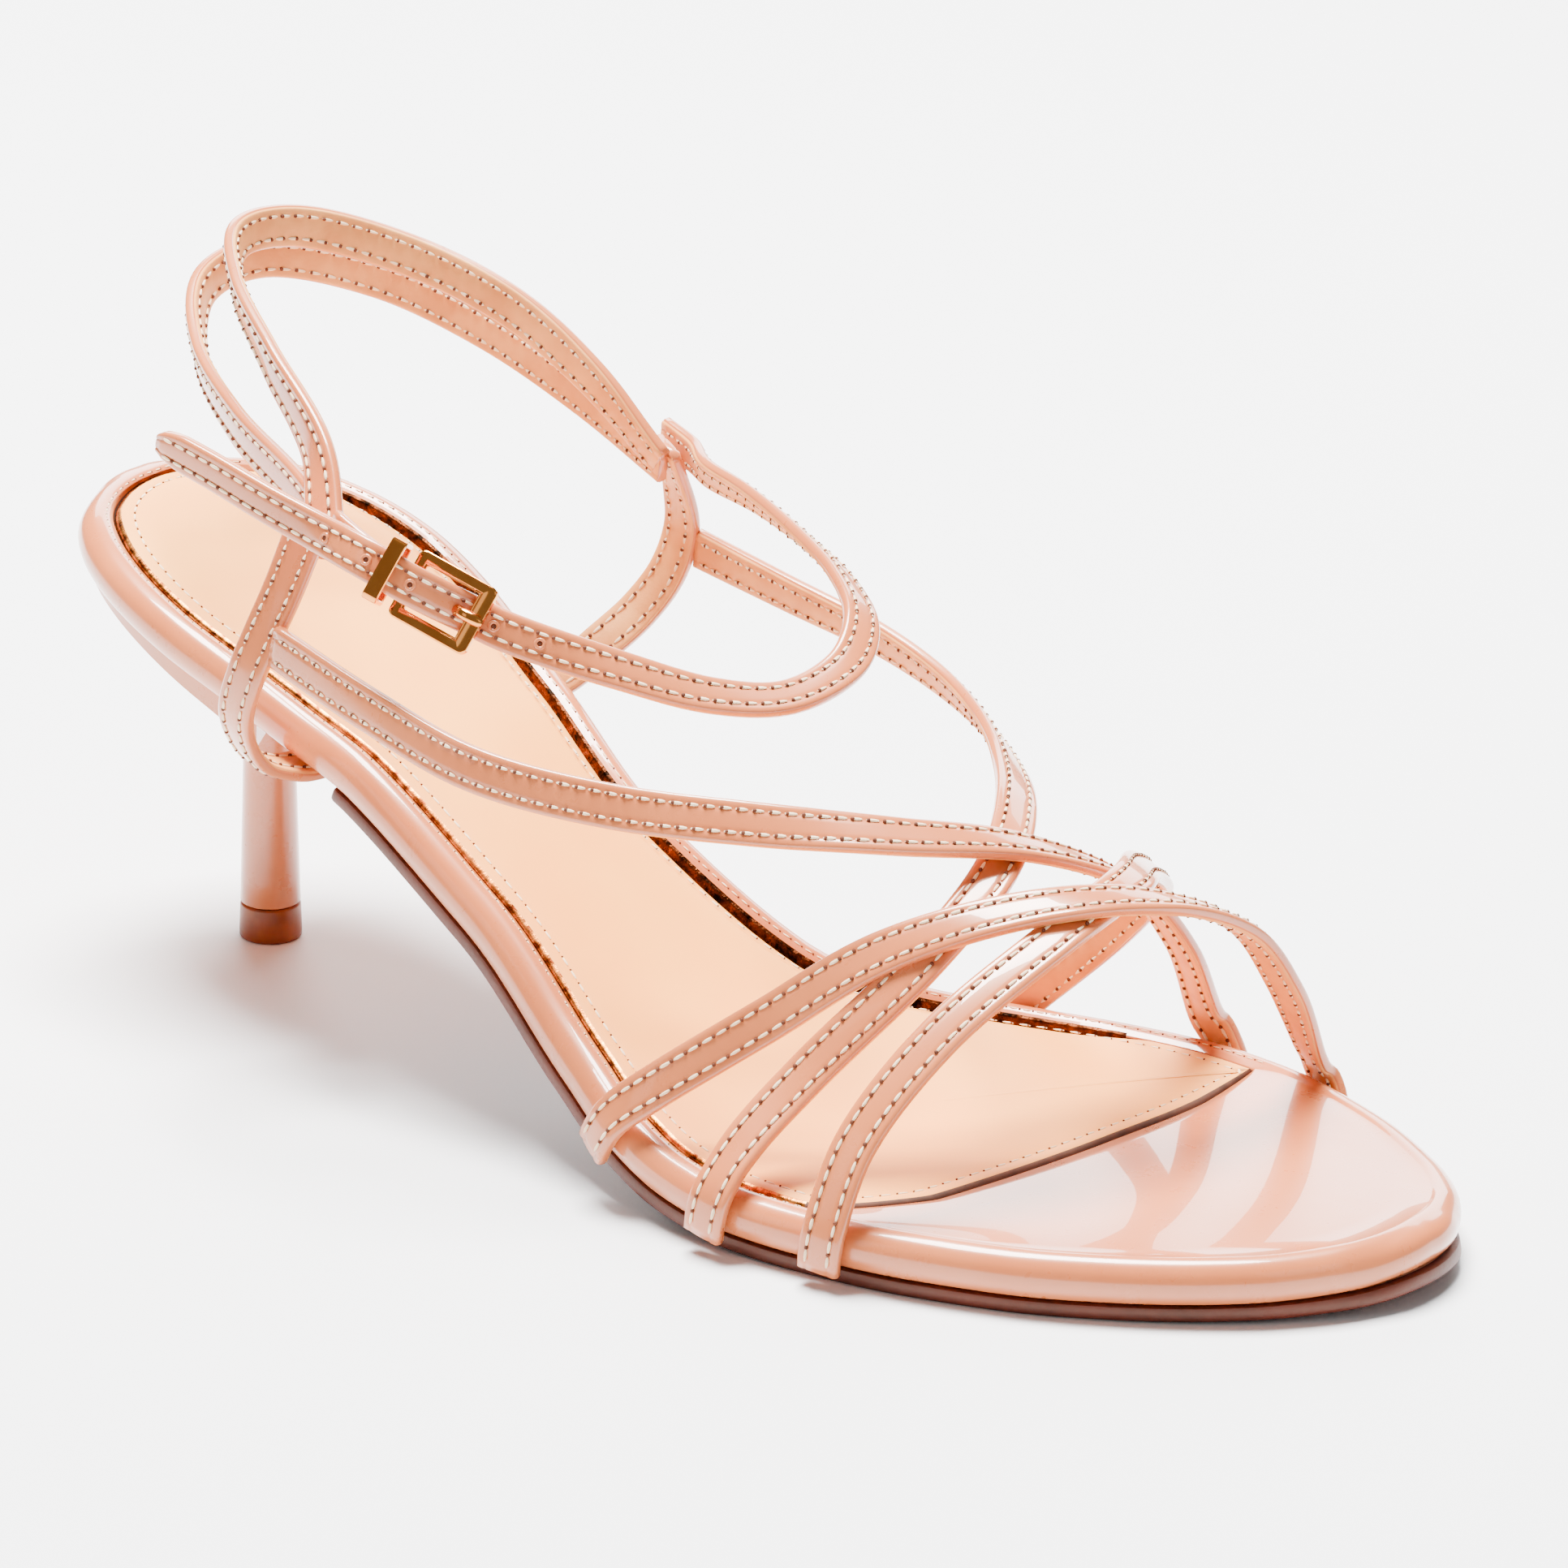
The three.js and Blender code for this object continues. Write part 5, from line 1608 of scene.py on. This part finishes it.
@dataclass
class Upper:
    """The four toe straps, both posts and both heel straps."""

    top: tuple[StrapEnd, StrapEnd] = (
        StrapEnd(Side.LATERAL, 0.547, 0.15),
        StrapEnd(Side.MEDIAL, 0.82, -0.4),
    )
    sweep_inner: StrapEnd = StrapEnd(Side.LATERAL, 0.641, 0.1)
    low: tuple[StrapEnd, StrapEnd] = (
        StrapEnd(Side.LATERAL, 0.718, 0.1),
        StrapEnd(Side.MEDIAL, 0.603, 0.5),
    )
    sweep_outer: StrapEnd = StrapEnd(Side.MEDIAL, 0.743, -0.35)

    @staticmethod
    def fore_outward(ends: Sequence[StrapEnd]) -> Callable[[np.ndarray], np.ndarray]:
        """Return facings that follow the foot and turn flat against the rim at each end."""
        def facing(points: np.ndarray) -> np.ndarray:
            """Blend the foot's facing into the rim's near each end."""
            out = foot_outward(points)
            for end in ends:
                away = np.linalg.norm(points - end.points()[1], axis=1)
                far = np.clip((away - 5 * MM) / (14 * MM), 0, 1)[:, None]
                out = out * far + end.facing() * (1 - far)
            return unit(out)

        return facing

    def fore(self, start: StrapEnd, rows: tuple, end: StrapEnd | None = None) -> Strap:
        """Lay one toe strap from its first end, over its rows, to its other end."""
        ends = [e for e in (start, end) if e is not None]
        parts = [start.points(), spots(rows)]
        if end is not None:
            parts.append(end.points()[::-1])
        return Strap(np.vstack(parts), outward=self.fore_outward(ends))

    def straps(self) -> dict[str, Strap]:
        """Lay every strap of the upper."""
        return {
            "top": self.fore(self.top[0], TOP_STRAP, self.top[1]),
            "sweep_inner": self.fore(self.sweep_inner, SWEEP_INNER_STRAP),
            "low": self.fore(self.low[0], LOW_STRAP, self.low[1]),
            "sweep_outer": self.fore(self.sweep_outer, SWEEP_OUTER_STRAP),
            "lateral_post": Strap(spots(LATERAL_POST)),
            "medial_post": Strap(spots(MEDIAL_POST)),
            "upper_heel": Strap(spots(UPPER_HEEL_STRAP)),
            "lower_heel": Strap(spots(LOWER_HEEL_STRAP)),
        }

    def build(self, tree: bpy.types.NodeTree) -> None:
        """Build the straps and their stitches.

        Args:
            tree: The stitch tree.
        """
        straps = self.straps()
        sheet = Sheet()
        for strap in straps.values():
            strap.add_to(sheet)
        piece = sheet.build("upper_straps_sewn", (PATENT.material(), LINING.material()))
        settle(piece, Slot.PATENT, "upper_straps")
        toe = [
            g
            for key in ("top", "sweep_inner", "low", "sweep_outer")
            for g in straps[key].guides()
        ]
        rear = [
            g
            for key in ("lateral_post", "medial_post", "upper_heel", "lower_heel")
            for g in straps[key].guides()
        ]
        STRAP_SEAM.sew("toe_strap_stitches", toe, tree)
        STRAP_SEAM.sew("heel_strap_stitches", rear, tree)


@dataclass
class BuckleAxes:
    """The buckle's own axes: X forward along the strap, Y across it, Z out of it."""

    place: tuple[float, float, float] = (-45.1, 10.2, 128.8)
    forward: tuple[float, float, float] = (0.342, -0.843, -0.415)
    outward: tuple[float, float, float] = (-0.776, -0.502, 0.381)

    def __post_init__(self) -> None:
        """Square the axes up."""
        self.at = spots([self.place])[0]
        self.x = unit(np.asarray(self.forward, float))
        out = np.asarray(self.outward, float)
        self.z = unit(out - (out @ self.x) * self.x)
        self.y = np.cross(self.z, self.x)

    def point(self, forward: float, out: float, across: float = 0.0) -> np.ndarray:
        """Return a point given in millimetres forward, out and across."""
        return self.at + (self.x * forward + self.z * out + self.y * across) * MM

    def points(self, local: np.ndarray) -> np.ndarray:
        """Return points given in the buckle's axes, in metres: forward, across, out."""
        return self.at + local[:, :1] * self.x + local[:, 1:2] * self.y + local[:, 2:] * self.z


AXES = BuckleAxes()

ANKLE_TAIL = (
    (-50.2, 30.7, 152.5),
    (-50.5, 26.3, 148.8),
    (-50.6, 22.2, 144.7),
    (-50.2, 18.9, 141.4),
)
ANKLE_THROUGH_BUCKLE = (
    (-12.6, 1.75, 0),
    (-8.8, 2.4, 0),
    (-5.4, 2.68, -0.1),
    (-1.2, 1.2, 0),
    (1.8, 0.1, 0.2),
    (5.4, -1.15, 0.4),
    (9.4, -1.1, 0.7),
)
ANKLE_FRONT = (
    (-30.7, 1.3, 114.7),
    (-20.8, -3, 108.3),
    (-11.1, -5.8, 106.6),
    (1.9, -6.5, 110),
    (11.5, -4.9, 115.6),
    (19.2, -1.3, 120.2),
    (25.3, 3.5, 123.7),
    (30.4, 8.7, 126.8),
    (35.2, 13.5, 127.5),
    (40.2, 16.2, 128.1),
    (42.2, 19, 130.3),
)


@dataclass
class AnkleStrap:
    """The ankle strap: free end, through the buckle, round the front, to the inner joint."""

    hole_spacing: float = 6.8 * MM
    hole_radius: float = 0.6 * MM
    rim_radius: float = 0.26 * MM

    def strap(self) -> Strap:
        """Lay the strap."""
        through = np.array([AXES.point(f, o, a) for f, o, a in ANKLE_THROUGH_BUCKLE])
        points = np.vstack([spots(ANKLE_TAIL), through, spots(ANKLE_FRONT)])

        def outward(at: np.ndarray) -> np.ndarray:
            """Face out of the buckle near it, and away from the foot elsewhere."""
            away = np.linalg.norm(at - AXES.at, axis=1)
            near = np.maximum(0, 1 - np.maximum(0, away - 10 * MM) / (14 * MM))[:, None]
            return unit(foot_outward(at) * (1 - near) + AXES.z * near)

        return Strap(points, outward=outward, tip=0.5, width=5.6 * MM)

    def build(self, tree: bpy.types.NodeTree) -> None:
        """Build the strap, its stitches and its holes.

        Args:
            tree: The stitch tree.
        """
        strap = self.strap()
        sheet = Sheet()
        strap.add_to(sheet)
        piece = sheet.build("ankle_strap_sewn", (PATENT.material(), LINING.material()))
        settle(piece, Slot.PATENT, "ankle_strap")
        STRAP_SEAM.sew("ankle_strap_stitches", strap.guides((2.2 * MM, 1.5 * MM)), tree)
        walk = walked(strap.line)
        middle = walk[np.argmin(np.linalg.norm(strap.line - AXES.point(1.6, 0.3, 0.4), axis=1))]
        places = [middle + k * self.hole_spacing for k in (-3, -2, -1, 1, 2)]
        index = [int(np.argmin(np.abs(walk - place))) for place in places]
        guides = [
            Guide(
                strap.line[index] + strap.out[index] * sign * (strap.thickness / 2 + 0.02 * MM),
                strap.out[index] * sign,
                along=strap.along[index],
                line=False,
            )
            for sign in (1, -1)
        ]
        # The punched holes' plugs take the painted needle hole shade.
        values = {
            "Radius": self.hole_radius,
            "Rim": self.rim_radius,
            "Rim Material": PATENT.material(),
            "Hole Material": NEEDLE_HOLE_SHADE.material(),
        }
        settle(grown("ankle_strap_holes", guides, punch_tree(), values), Slot.PATENT)


# How much wider the frame's front bar is than its arms, and the prong than it is thick
FRONT_BAR_SHARE = 1.35
PRONG_SHARE = 1.35


@dataclass
class Buckle:
    """The gold buckle: frame, prong and keeper, and the strip that holds them."""

    length: float = 12.2 * MM
    height: float = 10.2 * MM
    bar: float = 1.3 * MM
    back_radius: float = 0.6 * MM
    back_out: float = -0.4 * MM
    front_out: float = 1.3 * MM
    corner: float = 1.0 * MM
    keeper_forward: float = -8.7 * MM
    keeper_width: float = 2.2 * MM
    keeper_wall: float = 0.75 * MM

    @property
    def back(self) -> float:
        """Return how far forward the back bar lies."""
        return -self.length / 2 + self.bar / 2

    def rounded(
        self, half_x: float, half_y: float, radius: float, steps: int = 8
    ) -> np.ndarray:
        """Return a rounded rectangle about the origin.

        Args:
            half_x: Half its length.
            half_y: Half its width.
            radius: Its corners' radius.
            steps: Points in each corner.

        Returns:
            The closed outline's points.
        """
        points = []
        for sx, sy, start in ((1, 1, 0), (-1, 1, 90), (-1, -1, 180), (1, -1, 270)):
            angle = np.radians(np.linspace(start, start + 90, steps))
            cx, cy = sx * (half_x - radius), sy * (half_y - radius)
            points.extend(
                np.stack([cx + radius * np.cos(angle), cy + radius * np.sin(angle)], axis=1)
            )
        return np.asarray(points)

    def build_frame(self) -> bpy.types.Object:
        """Build the frame: a flat band with a stepped inner edge, and its round back bar."""
        front = self.length / 2 - self.bar / 2
        slope = math.atan2(self.front_out - self.back_out, front - self.back)
        half_x = (front - self.back) / 2 / math.cos(slope) + self.bar / 2
        half_y = self.height / 2
        turned = np.array([math.cos(slope), 0, math.sin(slope)])
        raised = np.array([-math.sin(slope), 0, math.cos(slope)])
        middle = np.array([(front + self.back) / 2, 0, (self.front_out + self.back_out) / 2])
        bar, rise = self.bar + 0.45 * MM, 0.62 * MM
        profile = (
            (0.12 * MM, -rise),
            (0.0, -rise + 0.12 * MM),
            (0.0, rise - 0.2 * MM),
            (0.16 * MM, rise - 0.03 * MM),
            (0.34 * MM, rise),
            (bar - 0.46 * MM, rise),
            (bar - 0.38 * MM, rise - 0.06 * MM),
            (bar - 0.36 * MM, rise - 0.34 * MM),
            (bar - 0.28 * MM, rise - 0.42 * MM),
            (bar - 0.06 * MM, rise - 0.44 * MM),
            (bar, rise - 0.52 * MM),
            (bar, -rise + 0.1 * MM),
            (bar - 0.1 * MM, -rise),
        )
        rings = []
        for inset, lift in profile:
            flat = self.rounded(
                half_x - inset, half_y - inset, max(self.corner - inset, 0.3 * MM)
            )
            flat[:, 0] = np.minimum(flat[:, 0], half_x - inset * FRONT_BAR_SHARE)
            local = (
                middle
                + flat[:, :1] * turned
                + flat[:, 1:] * np.array([0, 1, 0])
                + lift * raised
            )
            rings.append(AXES.points(local))
        sheet = Sheet()
        sheet.loft([*rings, rings[0]])
        angle = np.linspace(0, 2 * math.pi, 20, endpoint=False)
        round_bar = []
        for across in (-half_y + 0.6 * MM, half_y - 0.6 * MM):
            local = np.stack(
                [
                    self.back + self.back_radius * np.cos(angle),
                    np.full_like(angle, across),
                    self.back_out + self.back_radius * np.sin(angle),
                ],
                axis=1,
            )
            round_bar.append(AXES.points(local))
        sheet.loft(round_bar, start=True, end=True)
        piece = sheet.build("gold_frame", (GOLD.material(),))
        crease(piece, 38)
        return settle(piece, Slot.GOLD, "buckle_frame")

    def build_prong(self) -> bpy.types.Object:
        """Build the prong: a ring round the back bar and a rod that rests on the front bar."""
        line = np.array(
            [
                (self.back / MM + 1.35, -0.65),
                (-2.2, -1.1),
                (0, -1.5),
                (1.1, -1.1),
                (1.8, 0.4),
                (2.7, 2),
                (4.1, 2.75),
                (6.3, 2.85),
            ]
        )
        curve = even(
            centripetal(np.stack([line[:, 0], 0 * line[:, 0], line[:, 1]], axis=1) * MM),
            0.35 * MM,
        )
        tangent = unit(np.gradient(curve, axis=0))
        across = np.array([0.0, 1.0, 0.0])
        out = unit(np.cross(tangent, across))
        share = np.linspace(0, 1, len(curve))
        radius = np.interp(share, (0, 0.9, 0.97, 1), (0.6, 0.6, 0.5, 0.3)) * MM
        angle = np.linspace(0, 2 * math.pi, 18, endpoint=False)
        rings = [
            AXES.points(
                p
                + r
                * (
                    np.outer(PRONG_SHARE * np.cos(angle), across)
                    + np.outer(np.sin(angle), o)
                )
            )
            for p, o, r in zip(curve, out, radius)
        ]
        sheet = Sheet()
        sheet.loft(rings, start=True, end=True)
        sheet.loft([*self.eye(0.9 * MM, 1.45 * MM, 0.6 * MM)])
        piece = sheet.build("gold_prong", (GOLD.material(),))
        crease(piece, 50)
        return settle(piece, Slot.GOLD, "buckle_prong")

    def eye(self, inner: float, outer: float, half_width: float) -> list[np.ndarray]:
        """Return the rings of a short tube round the back bar.

        Args:
            inner: Its bore's radius.
            outer: Its outer radius.
            half_width: Half its length across the strap.

        Returns:
            Rings that close on themselves.
        """
        angle = np.linspace(0, 2 * math.pi, 36, endpoint=False)
        bevel = 0.12 * MM
        corners = (
            (inner, -half_width + bevel),
            (inner + bevel, -half_width),
            (outer - bevel, -half_width),
            (outer, -half_width + bevel),
            (outer, half_width - bevel),
            (outer - bevel, half_width),
            (inner + bevel, half_width),
            (inner, half_width - bevel),
            (inner, -half_width + bevel),
        )
        rings = []
        for radius, across in corners:
            local = np.stack(
                [
                    self.back + radius * np.cos(angle),
                    np.full_like(angle, across),
                    self.back_out + radius * np.sin(angle),
                ],
                axis=1,
            )
            rings.append(AXES.points(local))
        return rings

    def build_keeper(self) -> bpy.types.Object:
        """Build the keeper: a flat metal band with rounded corners."""
        low, high = -2.35 * MM, 3.75 * MM
        half_across = self.height / 2 - 0.4 * MM
        half_out = (high - low) / 2 + 0.8 * MM
        bevel = 0.14 * MM
        half = self.keeper_width / 2
        corners = (
            (0, -half + bevel),
            (bevel, -half),
            (self.keeper_wall - bevel, -half),
            (self.keeper_wall, -half + bevel),
            (self.keeper_wall, half - bevel),
            (self.keeper_wall - bevel, half),
            (bevel, half),
            (0, half - bevel),
            (0, -half + bevel),
        )
        rings = []
        for inset, forward in corners:
            flat = self.rounded(
                half_across - inset, half_out - inset, max(1.0 * MM - inset, 0.35 * MM)
            )
            local = np.stack(
                [
                    np.full(len(flat), self.keeper_forward + forward),
                    flat[:, 0],
                    (low + high) / 2 + flat[:, 1],
                ],
                axis=1,
            )
            rings.append(AXES.points(local))
        sheet = Sheet()
        sheet.loft(rings)
        piece = sheet.build("gold_keeper", (GOLD.material(),))
        crease(piece, 38)
        return settle(piece, Slot.GOLD, "buckle_keeper")

    def build_strip(self, tree: bpy.types.NodeTree) -> None:
        """Build the strip behind the buckle, its loops round the back bar and its stitches.

        Args:
            tree: The stitch tree.
        """
        rows = (
            (-6.65, -0.4, 0),
            (-8.8, -0.7, 0),
            (-12, -1.9, 0.2),
            (-15.5, -3.9, 0.9),
            (-19, -6.3, 1.7),
        )
        points = np.array([AXES.point(f, o, a) for f, o, a in rows])
        turned = -0.1 * AXES.x - 0.49 * AXES.y + 0.86 * AXES.z

        def outward(at: np.ndarray) -> np.ndarray:
            """Turn the strip's face from the buckle's to the joint's."""
            share = np.clip((-8 * MM - (at - AXES.at) @ AXES.x) / (10 * MM), 0, 1)[:, None]
            return unit(AXES.z * (1 - share) + turned * share)

        strap = Strap(
            points,
            outward=outward,
            width=5.2 * MM,
            thickness=1.6 * MM,
            lined=False,
        )
        sheet = Sheet()
        strap.add_to(sheet)
        rings = self.eye(0.85 * MM, 1.6 * MM, 0.85 * MM)
        flat = [np.zeros((len(rings[0]) + 1, 2))] * len(rings)
        for side in (-1, 1):
            shift = AXES.y * side * 1.72 * MM
            sheet.loft([ring + shift for ring in rings], uvs=flat)
        piece = sheet.build("buckle_strip_sewn", (PATENT.material(), LINING.material()))
        settle(piece, Slot.PATENT, "buckle_strip")
        STRAP_SEAM.sew("buckle_strip_stitches", strap.guides((3 * MM, 3 * MM)), tree)


# The studio


FLOOR_REACH = 6.0
FLOOR_GREY = 0.86
WORLD_STRENGTH = 0.3

# The soft boxes: name, place, what they point at, width and height, watts
SOFT_BOXES = (
    ("top_box", (0.2, 0.34, 1.5), (0, 0, 0.04), (0.8, 0.6), 175),
    ("back_box", (1.4, 0.9, 0.75), (0, 0, 0.05), (1.5, 0.8), 38),
    ("front_box", (-0.5, -1.5, 1.0), (0, 0, 0.04), (0.7, 0.9), 2),
    ("side_box", (-1.5, 0.5, 0.9), (0, 0, 0.05), (0.5, 1.0), 2),
)


@dataclass
class Studio:
    """The pale floor, the soft lights and the camera."""

    eye: tuple[float, float, float] = (-0.794463, -0.609229, 0.427357)
    right: tuple[float, float, float] = (0.60707, -0.79447, 0.01692)
    up: tuple[float, float, float] = (0.27321, 0.22866, 0.93438)
    back: tuple[float, float, float] = (-0.74621, -0.56261, 0.35587)
    lens: float = 178.06

    def build_camera(self) -> None:
        """Set the camera at the photograph's angle to the shoe."""
        data = bpy.data.cameras.new("photo_view")
        data.lens = self.lens
        data.sensor_width = 36.0
        data.clip_start = 0.05
        data.clip_end = 30.0
        camera = bpy.data.objects.new("photo_view", data)
        turn = Matrix((self.right, self.up, self.back)).transposed()
        camera.matrix_world = Matrix.Translation(Vector(self.eye)) @ turn.to_4x4()
        bpy.context.scene.collection.objects.link(camera)
        bpy.context.scene.camera = camera

    def build_floor(self) -> None:
        """Lay the floor."""
        mesh = bpy.data.meshes.new("floor")
        s = FLOOR_REACH
        mesh.from_pydata([(-s, -s, 0), (s, -s, 0), (s, s, 0), (-s, s, 0)], [], [(0, 1, 2, 3)])
        floor = bpy.data.objects.new("floor", mesh)
        material = bpy.data.materials.new("Pale floor")
        material.use_nodes = True
        shader = material.node_tree.nodes["Principled BSDF"]
        shader.inputs["Base Color"].default_value = (FLOOR_GREY, FLOOR_GREY, FLOOR_GREY, 1)
        shader.inputs["Roughness"].default_value = 0.6
        mesh.materials.append(material)
        bpy.context.scene.collection.objects.link(floor)

    def build_light(
        self,
        name: str,
        place: tuple[float, float, float],
        aim: tuple[float, float, float],
        size: tuple[float, float],
        power: float,
    ) -> None:
        """Hang one soft box.

        Args:
            name: The light's name.
            place: Where it hangs.
            aim: What it points at.
            size: Its width and height.
            power: Its power in watts.
        """
        data = bpy.data.lights.new(name, "AREA")
        data.shape = "RECTANGLE"
        data.size, data.size_y = size
        data.energy = power
        light = bpy.data.objects.new(name, data)
        light.location = place
        light.rotation_euler = (Vector(place) - Vector(aim)).to_track_quat("Z", "Y").to_euler()
        bpy.context.scene.collection.objects.link(light)

    def build_world(self) -> None:
        """Set the even pale surroundings."""
        world = bpy.data.worlds.new("studio")
        world.use_nodes = True
        shade = world.node_tree.nodes["Background"]
        shade.inputs["Color"].default_value = (1.0, 1.0, 1.0, 1)
        shade.inputs["Strength"].default_value = WORLD_STRENGTH
        bpy.context.scene.world = world

    def build(self) -> None:
        """Build the studio."""
        self.build_camera()
        self.build_floor()
        self.build_world()
        for box in SOFT_BOXES:
            self.build_light(*box)


def main() -> None:
    """Build the studio and every sub-assembly."""
    logging.basicConfig(level=logging.INFO, format="%(name)s %(message)s")
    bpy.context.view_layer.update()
    Studio().build()
    tree = stitch_tree()
    board = Board()
    board.build()
    RIM_SEAM.sew("rim_stitches", [board.stitch_guide()], tree)
    sock = Sock()
    sock.build()
    SOCK_SEAM.sew("sock_stitches", [sock.stitch_guide()], tree, slot=Slot.SOCK)
    Outsole().build()
    heel = Heel()
    heel.build()
    heel.build_tip()
    Upper().build(tree)
    AnkleStrap().build(tree)
    buckle = Buckle()
    buckle.build_frame()
    buckle.build_prong()
    buckle.build_keeper()
    buckle.build_strip(tree)


if __name__ == "__main__":
    main()
